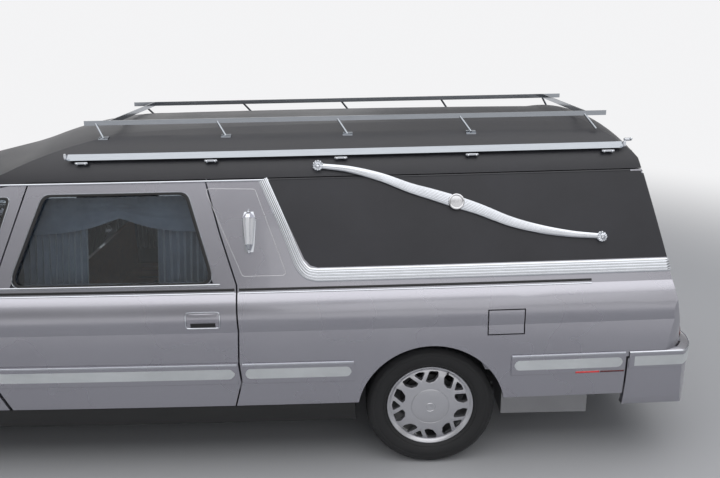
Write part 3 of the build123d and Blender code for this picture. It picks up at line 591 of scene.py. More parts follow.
def lampPoint(y, z, out=0.0):
    # point on the rear corner where the tail lamps sit, moved outward
    def reach(y):
        return np.minimum(planRear(y), tailRear(y, z))
    e = .004
    slope = (reach(y + e) - reach(y - e)) / (2 * e)
    normal = unit(np.stack([np.ones_like(slope), -slope, np.full_like(slope, .1)], -1))
    return np.stack([reach(y), y, z], -1) + normal * np.asarray(out)[..., None], normal


def screenPoint(y, z, out=0.0):
    # windscreen surface: the sloping centre line crowned about the roof's axis
    c, (x0, z0), (run, rise) = bodyForm["roofCrownZ"], bodyForm["screenFoot"], bodyForm["screenRun"]
    h = np.sqrt((z - c) ** 2 + y * y) + c
    normal = unit(np.stack([np.full_like(h, -rise), run * y / (z - c), np.full_like(h, run)], -1))
    return np.stack([x0 + (h - z0) * run / rise, y, z], -1) + normal * np.asarray(out)[..., None], normal


def sideRod(x0, x1, z, profile, count):
    # profile carried along a level line on the side
    line = np.column_stack([np.linspace(x0, x1, count), np.full(count, z)])
    return Pile().rod(strip(sidePoint, line, profile))


def levelNormals(path):
    # outward normals of a level path on the body
    return unit(np.cross(tangents(path), [0, 0, 1.0]))


def rearPath(z):
    # level line round the rear corner: rays from a point inside, from straight out to the tail
    a = np.linspace(np.radians(-90), 0, 400)
    ray = np.column_stack([np.cos(a), np.sin(a), np.zeros(400)])
    start = np.broadcast_to([2.55, 0.0, z], ray.shape)

    def inside(p):
        x, y = p[..., 0], p[..., 1]
        return (np.abs(y) < sideHalf(x, z)) & (x < planRear(y)) & (x < tailRear(y, z))
    points = lastInside(start, ray, 4.0, inside)
    return evenly(points[points[:, 1] < -0.655], 70)


# tyres: a carcass spun about the axle, its tread cut by five grooves and by cross cuts

tyreLook = {"radius": 0.332, "half": 0.1125, "bead": 0.2235, "turns": 240, "middle": 0.773,
            "groove": 0.007, "grooves": (-.056, -.028, 0, .028, .056), "crossCut": 0.0045}
axles = {"front": -2.05, "rear": 1.77}


def tyreProfile():
    # from bead over one sidewall, tread and the other sidewall: (radius, offset)
    outer, wide, bead = tyreLook["radius"], tyreLook["half"], tyreLook["bead"]
    wall = [(.0, .088), (.006, .1005), (.014, .1045), (.017, .1030), (.020, .1060), (.042, .1110),
            (.062, wide), (.065, wide - .0014), (.068, wide), (.078, .1105), (.0805, .1087), (.083, .1096)]
    wall = np.vstack([np.array(wall) + [bead, 0], [(outer - .016, .1020), (outer - .0075, .0935)]])
    tread = np.linspace(.088, -.088, 45)
    cuts = sum(np.where(np.abs(tread - g) < .0032, tyreLook["groove"], 0) for g in tyreLook["grooves"])
    crown = outer - .0040 * (tread / .088) ** 2 - cuts
    return np.vstack([wall, np.stack([crown, tread], 1), wall[::-1] * [1, -1]])


def makeTyres():
    radius, w = tyreProfile().T
    a = np.arange(tyreLook["turns"])[:, None]
    # cross cuts: every fourth step drops, slanted by the offset
    phase = (a + np.round(np.abs(w) * 40).astype(int)) % 4
    cut = (np.abs(w) < .089) & (np.abs(w) > .034) & (phase == 0)
    r = np.where(cut, radius - tyreLook["crossCut"], radius)
    a = a * 2 * np.pi / tyreLook["turns"]
    for axle, middle in axles.items():
        for side, s in (("left", -1), ("right", 1)):
            grid = np.stack([middle + r * np.cos(a), np.broadcast_to(s * (tyreLook["middle"] + w), r.shape),
                             tyreLook["radius"] + r * np.sin(a)], -1)
            body = f"wheel_{axle}_{side}"
            piece = Pile().spun(grid).make(f"tyreTread_{axle}_{side}", body, tyreRubber, "tyre")
            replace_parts(piece, f"tyre_{axle}_{side}")


makeTyres()
print("tyres made")


# mouldings low on the sides: painted carrier, chrome edge and ribbed insert

moulding = {
    "top": 0.640, "low": 0.527, "insertTop": 0.6135, "insertLow": 0.561, "insertEnd": 0.014, "proud": 0.0072,
    "runs": {  # name: (body, front x, rear x)
        "front_door": ("front_door_%s", -1.462, -0.428),
        "rear_door": ("rear_door_%s", -0.400, 0.812),
        "quarterFront": ("body", 0.836, 1.385),
        "quarterRear": ("body", 2.165, 2.735),
        "fenderRear": ("body", -1.668, -1.483),
        "fenderFront": ("body", -2.655, -2.435),
    },
}


def makeMouldings():
    m = moulding
    proud, h = m["proud"], (m["top"] - m["low"]) / 2
    carrier = [(-.002, -h), (proud, .003 - h), (proud + .0016, -h * .6), (proud + .0016, h * .55),
               (proud - .001, h - .006), (-.002, h)]
    edge = [(proud - .002, .0062), (proud + .0035, .0040), (proud + .0045, 0), (proud + .0035, -.0045),
            (proud - .002, -.0065)]
    middle, wide = (m["insertTop"] + m["insertLow"]) / 2, (m["insertTop"] - m["insertLow"]) / 2
    for name, (body, x0, x1) in m["runs"].items():
        bothSides(sideRod(x0, x1, (m["top"] + m["low"]) / 2, carrier, 24),
                  "moulding_" + name, body, silverPaint, "silver_paint")
        bothSides(sideRod(x0 + .002, x1 - .002, m["top"] - .006, edge, 24),
                  "mouldingChrome_" + name, body, chrome, "chrome")
        # ribs: a wave across the width, carried along the strip; its ends are half round
        x, v = plane((x0 + m["insertEnd"], x1 - m["insertEnd"], 60), (-1, 1, 25))
        end = np.clip(np.minimum(x - x[0, 0], x[-1, 0] - x) / wide, 0, 1)
        z = middle + v * wide * np.sqrt(np.clip(1 - (1 - end) ** 2, 0.04, 1))
        face = sidePoint(x, z, proud + .0022 + .0006 * np.cos(v * 8 * np.pi))[0]
        bothSides(Pile().rod(wrapped(face, sidePoint(x, z, proud - .002)[0])),
                  "mouldingInsert_" + name, body, insertGrey, "chrome")


makeMouldings()
print("mouldings made")


# landau: ridged moulding, S-shaped bars, medallion and rosettes

landau = {
    "edge": [(0.955, 1.4985, .023), (1.046, 1.301, .023), (1.110, 1.150, .024), (1.136, 1.098, .027),
             (1.168, 1.066, .030), (1.215, 1.055, .033)],
    "level": (1.23, 2.54, 1.055), "levelHalf": 0.033,
    "line": [(1.227, 1.554, .013), (1.266, 1.549, .0135), (1.385, 1.533, .0165), (1.532, 1.495, .021),
             (1.678, 1.441, .025), (1.776, 1.412, .0275), (1.903, 1.372, .030), (2.020, 1.333, .0275),
             (2.167, 1.275, .025), (2.315, 1.236, .021), (2.465, 1.210, .0165), (2.586, 1.198, .0135),
             (2.616, 1.193, .013)],
    "standOff": 0.0105, "rosettes": [(1.227, 1.554), (2.616, 1.193)], "medallion": (1.903, 1.372),
    "rosetteProfile": [(0.0002, .0225), (.007, .0235), (.010, .0205), (.016, .0185), (.0225, .0200),
                       (.0265, .0165), (.0275, .0110), (.0275, .0000), (.0002, .0)],
    "medallionProfile": [(.0002, .0235), (.012, .0232), (.022, .0222), (.030, .0212), (.0302, .0245),
                         (.034, .0262), (.0385, .0250), (.0405, .0200), (.0405, .0090), (.0002, .0090)],
}


def makeLandauMoulding():
    # down the quarter's slanted edge, level to the rear and round the corner
    edge = smoothLine(landau["edge"], 8)
    x0, x1, z = landau["level"]
    rear = rearPath(z)
    rearNormal = unit(np.cross(tangents(rear), unit(rearPath(z + .02) - rearPath(z - .02))))
    parts = (sidePoint(edge[:, 0], edge[:, 1]), sidePoint(np.linspace(x0, x1, 40), z), (rear, rearNormal))
    path, normal = (np.vstack(part) for part in zip(*parts))
    wide = np.concatenate([edge[:, 2], np.full(len(path) - len(edge), landau["levelHalf"])])
    section = ridged(1.0) * np.column_stack([np.ones_like(wide), wide])[:, None]
    run = Pile().rod(swept(path, normal, section))
    for piece in bothSides(run, "landauMoulding", "body", chrome, "chrome"):
        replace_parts(piece, "landau_bars")


def makeLandauBars():
    line = smoothLine(landau["line"], 10)
    path, normal = sidePoint(line[:, 0], line[:, 1], landau["standOff"])
    v = np.linspace(-1, 1, 33)
    reach = np.linspace(-1, 1, len(line))[:, None]
    ribs = 0.0012 * np.abs(np.sin(v * 4 * np.pi)) ** 0.7 * np.exp(-(reach / 0.55) ** 4)
    top = 0.0085 * np.sqrt(1 - 0.9 * v ** 2) + ribs
    out = np.concatenate([top, np.zeros_like(top)], 1)
    wide = np.concatenate([v, v[::-1]]) * line[:, 2:]
    bars = Pile().rod(swept(path, normal, np.stack([out, wide], -1)))
    bothSides(bars, "landauBar", "body", chrome, "chrome")
    rosettes = Pile()
    for x, z in landau["rosettes"]:
        centre, normal = sidePoint(x, z)
        ring = turned(landau["rosetteProfile"], centre, normal, 60)
        # petals: twelve lobes round the middle of the cap
        lobe = 0.0016 * np.cos(12 * np.arange(60) / 60 * 2 * np.pi)
        ring[:, 2:5] += lobe[:, None, None] * normal
        rosettes.spun(ring)
    bothSides(rosettes, "landauRosettes", "body", chrome, "chrome")
    disc = Pile().spun(turned(landau["medallionProfile"], *sidePoint(*landau["medallion"]), 72))
    bothSides(disc, "landauMedallion", "body", satinChrome, "chrome")


makeLandauMoulding()
makeLandauBars()
print("landau trim made")


# coach lamps: faceted lantern with pale panes, chrome corners and turned finials

coachLamp = {
    "x": 0.886, "middle": 1.26, "low": 1.167, "high": 1.356, "base": 0.006, "deep": 1.45,
    "outline": ([0, .10, .16, .84, .94, 1], [.010, .016, .0205, .0315, .020, .010]),
    "plate": [[-.020, 1.160], [.020, 1.160], [.026, 1.20], [.034, 1.315], [.022, 1.358],
              [-.022, 1.358], [-.034, 1.315], [-.026, 1.20]],
    "finial": [(.0095, -.002), (.0085, .002), (.0045, .004), (.0065, .0075), (.0062, .011),
               (.003, .0135), (.0018, .0155), (.0002, .0165)],
}


def makeCoachLamps():
    c = coachLamp
    origin, out = sidePoint(c["x"], c["middle"])
    up = unit(np.array([0, 0, 1.0]) - out * out[2])
    along = np.cross(up, out)
    angles = np.radians([180, 157, 112, 68, 23, 0])

    def place(a, d, h):
        # along the side, out from it and above the ground
        return (origin + along * np.asarray(a)[..., None] + out * np.asarray(d)[..., None]
                + up * (np.asarray(h) - c["middle"])[..., None])

    def corners(v, scale=1.0):
        # half octagon section that grows from foot to shoulder, at heights v from 0 to 1
        v = v[:, None]
        w = np.interp(v, *c["outline"]) * scale
        h = np.broadcast_to(c["low"] + (c["high"] - c["low"]) * v, (len(v), 6))
        return place(np.cos(angles) * w, c["base"] + np.sin(angles) * w * c["deep"], h)

    panes = Pile().rod(corners(np.linspace(.155, .845, 15), 0.97))
    cage = Pile().rod(corners(np.linspace(0, .16, 15))).rod(corners(np.linspace(.84, 1, 15)))
    bars = corners(np.linspace(.15, .85, 9))
    for k in range(6):
        cage.rod(alongPath(bars[:, k], along, out, circle(.0018, 8)))
    plate = np.array(c["plate"])
    cage.rod(np.stack([place(plate[:, 0] * k, d, (plate[:, 1] - c["middle"]) * k + c["middle"])
                       for d, k in ((0, 1), (.0055, 1), (.0065, .94))]))
    finials = Pile()
    for h, s in ((c["high"], 1), (c["low"], -1)):
        finials.spun(turned(c["finial"], place(0, .016, h), up * s, 20))
    bothSides(panes, "lampPanes", "body", lampPane, "chrome", False)
    bothSides(finials, "lampFinials", "body", chrome, "chrome")
    for piece in bothSides(cage, "lampCage", "body", chrome, "chrome"):
        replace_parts(piece, "coach_lamps")


makeCoachLamps()
print("coach lamps made")


# bright lines, gaskets and handles on the sides

windows = {  # name: outline, corner radius
    "rear": ([(-.119, 1.444), (.576, 1.444), (.709, 1.027), (-.283, 1.027)], .055),
    "front": ([(-.290, 1.440), (-.380, 1.432), (-.600, 1.385), (-.930, 1.300), (-1.255, 1.027),
               (-.425, 1.027)], .03),
}
beltSpans = {"front_door": (-1.340, -.372), "rear_door": (-.352, .812), "quarter": (.834, 2.56)}
sillSpans = {"rear_door": (-.338, .742), "front_door": (-1.255, -.382)}
sideLines = {  # name: spans, height, section, points, finish, slot
    "beltBright_": (beltSpans, .983, flatBar(.00375, .0035), 30, chrome, "chrome"),
    # painted shade: a black strip stands in for the shade in the groove below the windows
    "beltDark_": (beltSpans, .998, flatBar(.0065, .0022), 30, panelBlack, "dark_trim"),
    "windowSill_": (sillSpans, 1.0205, flatBar(.0065, .0065), 24, chrome, "chrome"),
}
dripRail = [(-.001, .006), (.006, .005), (.009, .001), (.008, -.003), (.004, -.005), (-.001, -.005)]
landauPanel = [(.668, 1.462), (.915, 1.455), (1.067, 1.058), (.852, 1.058)]
handle = {"rear": (.577, .742), "front": (-.612, -.447), "low": .828, "high": .905, "flapFoot": .36}


def makeSideLines():
    for name, (window, radius) in windows.items():
        loop, body = roundedLoop(window, radius), name + "_door_%s"
        bothSides(ringOn(sidePoint, loop, flatBar(.0075, .0022), 2), name + "WindowGasket", body, blackRubber)
        bothSides(ringOn(sidePoint, spread(loop, .026), flatBar(.0032, .0040), 2),
                  name + "WindowChrome", body, chrome, "chrome")
    for name, (spans, z, section, count, material, slotName) in sideLines.items():
        for part, (x0, x1) in spans.items():
            body = part + "_%s" if "door" in part else "body"
            bothSides(sideRod(x0, x1, z, section, count), name + part, body, material, slotName)
    # bright gutter where the roof meets the doors, and a fine pressed line round the landau panel
    bothSides(sideRod(-.40, .955, 1.4955, dripRail, 40), "dripRail", "body", chrome, "chrome")
    bothSides(ringOn(sidePoint, roundedLoop(landauPanel, .018), flatBar(.0012, .0007), 3),
              "landauPanelLine", "body", satinChrome, "chrome")


def makeHandles():
    # flush pulls: rounded frame, lifting flap, and a black sheet as painted shade in the hollow at its foot
    z0, z1, foot = handle["low"], handle["high"], handle["flapFoot"]
    for name in ("rear", "front"):
        x0, x1 = handle[name]
        body = name + "_door_%s"
        bothSides(ringOn(sidePoint, roundedBox(x0, x1, z0, z1, .017), flatBar(.0045, .0055), 3),
                  name + "HandleFrame", body, chrome, "chrome")
        # upper flap bulges, the lower third falls back into the hollow
        u, v = plane((0, 1, 40), (0, 1, 24))
        bulge = np.clip(np.sin(np.pi * (v - foot) / (1 - foot)), 0, 1) ** .6
        lift = np.where(v < foot, .0004, .0028 + .0032 * np.sin(np.pi * u) ** .3 * bulge)
        flap = sidePoint(x0 + .004 + (x1 - x0 - .008) * u, z0 + .004 + (z1 - z0 - .008) * v, lift)[0]
        bothSides(Pile().add(flap), name + "HandleFlap", body, silverPaint, "silver_paint")
        # painted shade: a black sheet just off the skin stands in for the shade in the finger hollow
        hollow = sidePoint(*plane((x0 + .022, x1 - .022, 14), (z0 + .006, z0 + .026, 6)), .0011)[0]
        bothSides(Pile().add(hollow), name + "HandleHollowShade", body, panelBlack, "dark_trim")


makeSideLines()
makeHandles()
print("side lines made")


# bumpers: mouldings carried round their outlines, and the reflectors

bumperTrim = {"proud": 0.045, "side": 0.004, "start": 2.752, "points": 90}
rearBumper = {  # name: height, section, first point, finish, slot
    "bumperCarrier": (.592, [(-.003, -.050), (.0015, -.045), (.0025, -.02), (.0025, .030), (.001, .042),
                             (-.004, .046), (-.039, .047), (-.039, .013)], 0, silverPaint, "silver_paint"),
    "bumperEdge": (.632, [(.0005, -.0055), (.0045, -.003), (.0052, 0), (.004, .0045), (.0005, .0065)],
                   0, chrome, "chrome"),
    "bumperInsert": (.5875, insertSection, 2, insertGrey, "chrome"),
}
frontBumper = {  # name: height, section, rear end, finish, slot
    "frontBumperEdge": (.532, [(-.002, -.006), (.004, -.003), (.005, 0), (.004, .0045), (-.002, .0065)],
                        -2.760, chrome, "chrome"),
    "frontBumperInsert": (.487, insertSection, -2.760, insertGrey, "chrome"),
    "frontAirIntake": (.330, [(-.002, -.045), (.001, -.044), (.0012, .044), (-.002, .045)],
                       -2.95, panelBlack, "dark_trim"),
}
reflectors = {"sideReflector": (2.489, 2.608, reflectorRed), "sideMarker": (2.612, 2.733, darkRedLens)}


def bumperPath(z):
    # plan outline moved out, then held within the sides
    b = bumperTrim
    y = np.linspace(-1.0, 0, 300)
    flat = np.stack([planRear(y), y], 1)
    flat = flat + tangents(flat)[:, ::-1] * [1, -1] * b["proud"]
    side = np.column_stack([np.linspace(2.0, flat[0, 0], 60)[:-1], np.full(59, flat[0, 1])])
    flat = np.vstack([side, flat])
    flat[:, 1] = np.maximum(flat[:, 1], -(sideHalf(flat[:, 0], z) + b["side"]))
    return np.column_stack([evenly(flat[flat[:, 0] > b["start"]], b["points"]), np.full(b["points"], z)])


def frontPath(z, count=80, rear=-2.760):
    # plan outline of the nose from the centre round to the side, held within the sides
    y = -np.linspace(0, .905, 240)
    flat = np.stack([planArc(bodyForm["frontArcs"], y, np.full(y.shape, -3.15), -1), y], 1)
    flat = np.vstack([flat, np.column_stack([np.linspace(-2.79, rear, 12), np.linspace(-.9075, -.915, 12)])])
    flat[:, 1] = np.maximum(flat[:, 1], -sideHalf(flat[:, 0], z))
    path = np.column_stack([evenly(flat, count), np.full(count, z)])
    return path[path[:, 0] < rear + 1e-6]


def makeBumperTrim():
    def trim(path, normal, section, name, material, slotName):
        grid = alongPath(path, normal, [0, 0, 1.0], section)
        Pile().add(grid, closeV=True).mirrored().make(name, "body", material, slotName)
    for name, (z, section, first, material, slotName) in rearBumper.items():
        path = bumperPath(z)[first:]
        normal = levelNormals(path)
        normal[-1] = [1, 0, 0]
        trim(path, normal, section, name, material, slotName)
    for name, (z, section, rear, material, slotName) in frontBumper.items():
        path = frontPath(z, rear=rear)
        normal = -levelNormals(path)
        normal[0] = [-1, 0, 0]
        trim(path, normal, section, name, material, slotName)
    for name, (x0, x1, material) in reflectors.items():
        bothSides(sideRod(x0, x1, .538, flatBar(.0085, .0095), 14), name, "body", material, "red_lens")


makeBumperTrim()
print("bumper trim made")


# wheel discs: spun face with fifteen shaped openings, cut in groups of three

wheelLook = {
    "groups": 5, "turn": 107, "steps": 180, "corner": .0085, "edge": .0014, "standOut": .0975,
    "big": [(.1424, 7.0), (.1335, 15.0), (.1424, 25.5), (.172, 31.0), (.1975, 29.5), (.1955, 16.0)],
    "small": [(.1500, 0.0), (.1930, 9.5), (.1965, 0.0), (.1930, -9.5)],
    "face": [(.0002, .0085), (.020, .0084), (.0215, .0066), (.024, .0066), (.0255, .0082), (.060, .0078),
             (.090, .0055), (.0955, .0040), (.097, .0015), (.0985, .0030), (.130, .0012), (.165, -.0030),
             (.192, -.0090), (.198, -.0125), (.2015, -.0135), (.206, -.0095), (.2120, -.0040),
             (.2165, -.0015), (.2205, -.0020), (.2225, -.0050), (.2225, -.0200), (.2140, -.0200),
             (.2080, -.0330), (.197, -.0360), (.165, -.0320), (.120, -.0230), (.0002, -.0210)],
    "barrel": [(.2225, -.0200), (.2225, -.2065), (.2160, -.2070), (.2100, -.200), (.2060, -.190),
               (.2040, -.120), (.2030, -.060), (.2080, -.0230)],
    "drum": [(.0002, -.012), (.062, -.014), (.065, -.040), (.120, -.050), (.150, -.060), (.150, -.075),
             (.0002, -.080)],
    "valve": [(.0002, .004), (.003, .004), (.0036, .001), (.0036, -.018), (.0002, -.018)],
    "valveAt": (.1995 * math.cos(1.1), .1995 * math.sin(1.1), 0),
}


def openingPrism(polar, turn, mirror=1):
    # rounded loop given as (radius, degrees), drawn out along the axle
    r, a = np.array(polar).T
    a = np.radians(turn + mirror * a)
    loop = roundedLoop(np.stack([r * np.cos(a), r * np.sin(a)], 1)[::mirror], wheelLook["corner"], 7)
    return np.stack([np.column_stack([loop, np.full(len(loop), h)]) for h in (-.05, .10)])


def cutDisc():
    # the disc stands round the z axis, its face up; openings are cut by a Boolean and edges bevelled
    w = wheelLook
    solid = Pile().ring(turned(w["face"], (0, 0, 0), (0, 0, 1), w["steps"]))
    cutter = Pile()
    for g in range(w["groups"]):
        turn = w["turn"] + g * 360 / w["groups"]
        cutter.rod(openingPrism(w["big"], turn)).rod(openingPrism(w["big"], turn, -1))
        cutter.rod(openingPrism(w["small"], turn))
    disc = solid.make("discBlank", "body", wheelSilver)
    tool = cutter.make("discCutter", "body", wheelSilver, smooth=False)
    cut = disc.modifiers.new("openings", "BOOLEAN")
    cut.operation, cut.solver, cut.object = "DIFFERENCE", "EXACT", tool
    edge = disc.modifiers.new("edges", "BEVEL")
    edge.width, edge.segments, edge.limit_method, edge.angle_limit = w["edge"], 2, "ANGLE", math.radians(50)
    mesh = evaluatedMesh(disc)
    bpy.data.objects.remove(disc)
    bpy.data.objects.remove(tool)
    return mesh


def makeWheels():
    w = wheelLook
    face = cutDisc()
    points = meshPoints(face)
    faces = [list(p.vertices) for p in face.polygons]
    up = (0, 0, 1)
    for axle, middle in axles.items():
        for side, s in (("left", -1), ("right", 1)):
            body = f"wheel_{axle}_{side}"

            def seat(p):
                # local z becomes outward; local x stays along the car on the driver's side
                return np.stack([middle - s * p[..., 0], s * (tyreLook["middle"] + w["standOut"] + p[..., 2]),
                                 tyreLook["radius"] + p[..., 1]], -1)

            def spunPart(name, profile, at, steps, material, slotName):
                grid = seat(turned(profile, at, up, steps))
                Pile().spun(grid).make(f"{name}_{axle}_{side}", body, material, slotName)
            disc = makeMesh(f"wheelDisc_{axle}_{side}", seat(points), faces, body, wheelSilver)
            outwardFaces(disc).data.set_sharp_from_angle(angle=math.radians(35))
            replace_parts(disc, body)
            spunPart("wheelBarrel", w["barrel"], (0, 0, 0), 96, castMetal, "alloy")
            spunPart("brakeDrum", w["drum"], (0, 0, 0), 48, chassisBlack, "black_steel")
            spunPart("tyreValve", w["valve"], w["valveAt"], 12, blackRubber, "tyre")


makeWheels()
print("wheels made")


# tail: vinyl round the tail window, gaskets, bright band, handle, blank plate and lamp trim

tail = {
    "vinylOuter": [(-.612, 1.094), (-.516, 1.626), (.516, 1.626), (.612, 1.094)],
    "vinylInner": [(-.486, 1.094), (-.412, 1.543), (.412, 1.543), (.486, 1.094)],
    "window": [(-.470, 1.100), (-.400, 1.530), (.400, 1.530), (.470, 1.100)],
    "band": [(-.612, 1.058), (.612, 1.058)], "plateFrame": (-.19, .19, .725, .905),
    "plate": ((-.155, .155, 30), (.737, .893, 16)), "handle": [(-.11, .955), (.11, .955)],
    "handleSection": [(.004, .011), (.016, .009), (.021, .003), (.019, -.006), (.010, -.011), (.004, -.010)],
    "lamp": [(-.828, .650), (-.826, .925), (-.674, .925), (-.672, .650)],
    "rib": [(-.001, .004), (.0022, .0030), (.003, 0), (.0022, -.0030), (-.001, -.004)],
    "pane": ((-.816, -.686, 24), (.656, .680, 8)),
    "highFrame": (-.075, .075, 1.592, 1.568), "highLamp": ((-.073, .073, 24), (1.570, 1.590, 6)),
}


def makeTail():
    def onTail(pile, name, material, slotName=None):
        pile.make(name, "tail_door", material, slotName)
    t = np.linspace(0, 3, 91)
    v = np.linspace(0, 1, 13)
    outer, inner = (np.stack([np.interp(t, range(4), column) for column in np.array(tail[k]).T], -1)
                    for k in ("vinylOuter", "vinylInner"))
    flat = outer[:, None] + (inner - outer)[:, None] * v[None, :, None]
    lift = .0028 * np.minimum(1, np.minimum(v, 1 - v) * 9) ** .5
    onTail(Pile().add(tailPoint(flat[..., 0], flat[..., 1], np.broadcast_to(lift, flat.shape[:2]))[0]),
           "tailVinyl", vinyl, "black_vinyl")
    loop = roundedLoop(tail["window"], .045)
    onTail(ringOn(tailPoint, loop, flatBar(.008, .0026), 2), "tailWindowGasket", blackRubber)
    onTail(ringOn(tailPoint, spread(loop, .03), flatBar(.0035, .0048), 2),
           "tailWindowChrome", chrome, "chrome")
    onTail(Pile().rod(strip(tailPoint, tail["band"], ridged(.033), steps=60)), "tailBand", chrome, "chrome")
    onTail(ringOn(tailPoint, roundedBox(*tail["plateFrame"], .015), flatBar(.006, .007), 3),
           "plateFrame", chrome, "chrome")
    onTail(Pile().add(tailPoint(*plane(*tail["plate"]), .0030)[0]), "rearPlateBlank", plateBlank, "dark_trim")
    onTail(Pile().rod(strip(tailPoint, tail["handle"], tail["handleSection"], steps=16)),
           "tailHandle", chrome, "chrome")
    onTail(ringOn(tailPoint, roundedBox(*tail["highFrame"], .008), flatBar(.004, .006), 3),
           "highLampFrame", panelBlack, "dark_trim")
    onTail(Pile().add(tailPoint(*plane(*tail["highLamp"]), .0046)[0]), "highLamp", darkRedLens, "red_lens")
    # lamps: bright rim, raised ribs across the lens and a pale reversing pane low down
    ribs = Pile()
    out, rise = np.array(tail["rib"]).T
    for z in np.linspace(.690, .900, 8):
        y = np.broadcast_to(np.linspace(-.818, -.684, 20)[:, None], (20, 5))
        ribs.rod(lampPoint(y, np.broadcast_to(z + rise, y.shape), out)[0])
    rim = ringOn(lampPoint, roundedLoop(tail["lamp"], .012), flatBar(.004, .004))
    bothSides(rim, "tailLampRim", "body", chrome, "chrome")
    bothSides(ribs, "tailLampRibs", "body", redLens, "red_lens")
    bothSides(Pile().add(lampPoint(*plane(*tail["pane"]), .0022)[0]),
              "reversePane", "body", lampPane, "lamp_glass")


makeTail()
print("tail made")


# front end: mirrors, wipers and screen gasket

mirror = {"centre": (-1.2725, -1.0125, 1.065), "size": (.0530, .0950, .0715), "glassX": -1.2190,
          "glass": ((-1.092, -.933, 14), (1.006, 1.124, 10)), "glassHalf": (.0795, .059)}
screen = {"loop": [(-.800, .985), (-.625, 1.375), (-.300, 1.437), (0, 1.456), (.300, 1.437), (.625, 1.375),
                   (.800, .985)],
          "wipers": ((-.56, -.33, .03), (.10, .30, .66))}


def makeMirrors():
    shell = Pile().spun(superBox(mirror["centre"], mirror["size"], 11))
    bothSides(shell, "mirrorShell", "front_door_%s", silverPaint, "silver_paint")
    y, z = plane(*mirror["glass"])
    (_, yc, zc), (yh, zh) = mirror["centre"], mirror["glassHalf"]
    dome = 1 - np.maximum(np.abs((y - yc) / yh), np.abs((z - zc) / zh)) ** 8
    bothSides(Pile().add(np.stack([mirror["glassX"] + .0018 * dome, y, z], -1)),
              "mirrorGlass", "front_door_%s", mirrorFace, "chrome")


def makeScreen():
    gasket = ringOn(screenPoint, roundedLoop(screen["loop"], .03), flatBar(.010, .0035))
    gasket.make("screenGasket", "body", blackRubber)
    arms = Pile()
    for y0, y1, y2 in screen["wipers"]:
        arm, blade = (y0, y1, 1.000, 1.060, .0055), (y1 - .26, y2 - .06, 1.052, 1.070, .0045)
        for ya, yb, za, zb, r in (arm, blade):
            path, normal = screenPoint(np.linspace(ya, yb, 20), np.linspace(za, zb, 20), .012)
            arms.rod(alongPath(path, normal, np.cross(tangents(path), normal), circle(r, 8) * [1.4, 1]))
    arms.make("wipers", "body", blackRubber, "dark_trim")


makeMirrors()
makeScreen()
print("front made")


# front seats: crowned cushions with sewn channels

seatPads = {  # name: centre, half size, lean in degrees about the cross axis, sewn channels, most swell
    "seatBase": ((-.805, .38, .415), (.265, .250, .085), 3, 5, .018),
    "seatBack": ((-.420, .38, .790), (.060, .246, .310), 16, 5, .018),
    "headRest": ((-.338, .38, 1.182), (.038, .118, .062), 8, 0, .010),
}
padCloth = {"voxel": .010, "pressure": 4, "frames": 20}


def inflated(mesh, cap):
    # remeshed copy swells under pressure as cloth; no point moves further than the cap
    pad = bpy.data.objects.new("padDraft", mesh)
    scene = bpy.context.scene
    scene.collection.objects.link(pad)
    remesh = pad.modifiers.new("remesh", "REMESH")
    remesh.mode, remesh.voxel_size = "VOXEL", padCloth["voxel"]
    shape = evaluatedMesh(pad)
    pad.modifiers.clear()
    pad.data = shape
    start = meshPoints(shape)
    cloth = pad.modifiers.new("cloth", "CLOTH")
    cloth.settings.use_pressure = True
    cloth.settings.uniform_pressure_force = padCloth["pressure"]
    cloth.settings.effector_weights.gravity = 0
    for frameNumber in range(padCloth["frames"]):
        scene.frame_set(frameNumber + 1)
    shape = bpy.data.meshes.new_from_object(pad.evaluated_get(bpy.context.evaluated_depsgraph_get()))
    scene.frame_set(1)
    move = meshPoints(shape) - start
    length = np.linalg.norm(move, axis=1, keepdims=True)
    faces = [list(p.vertices) for p in shape.polygons]
    bpy.data.objects.remove(pad)
    return start + move * np.minimum(1, cap / np.maximum(length, 1e-9)), faces


def makeSeats():
    first = None
    for name, (centre, size, lean, channels, cap) in seatPads.items():
        draft = Pile().spun(superBox((0, 0, 0), size, 4.5, 40, 80)).make("padBlock", "body", seatLeather)
        points, faces = inflated(draft.data.copy(), cap)
        bpy.data.objects.remove(draft)
        n = points / np.asarray(size)
        if channels:
            # sewn channels: grooves of Gaussian section between panels, deepest on the crown
            groove = sum(np.exp(-((n[:, 1] - c) / .022) ** 2) for c in np.linspace(-.62, .62, channels - 1))
            thin = int(np.argmin(size))
            points[:, thin] -= .010 * groove * np.sign(points[:, thin]) * np.minimum(1, np.abs(n[:, thin]))
        a = math.radians(lean)
        x, y, z = points.T
        placed = np.stack([x * math.cos(a) + z * math.sin(a), y, z * math.cos(a) - x * math.sin(a)], 1)
        placed = placed + np.asarray(centre)
        for side, s in sides.items():
            here = [f[::-s] for f in faces]
            piece = makeMesh(f"{name}_{side}", placed * [1, -s, 1], here, "body", seatLeather)
            first = first or piece
    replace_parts(first, "front_seats")
    base = Pile().spun(superBox((-.80, -.38, .300), (.235, .235, .045), 10, 16, 40))
    post = [(.0002, -.07), (.006, -.07), (.006, .05), (.0002, .05)]
    for x in (-.345, -.333):
        for y in (-.43, -.33):
            base.spun(turned(post, (x, y, 1.10), (.1, 0, 1), 14))
    bothSides(base, "seatFrame", "body", chassisBlack, "black_steel")


makeSeats()
print("seats made")


# headlamps: clear lens with flutes over a reflector bowl, amber lamp at the corner

headlamp = {
    "rows": 26, "columns": 110, "split": 78, "top": .7435, "tall": .169, "inner": -.4425,
    "nose": np.array([(-3.112, .575), (-3.104, .742), (-3.092, .776), (-3.058, .790)]), "noseAxisZ": 9.0,
    "bulb": [(.0002, .030), (.006, .029), (.010, .024), (.010, .010), (.018, .004), (.020, .0), (.0002, .0)],
}
grilleBox = {"x": -3.1045, "box": (-.447, .447, .577, .742)}


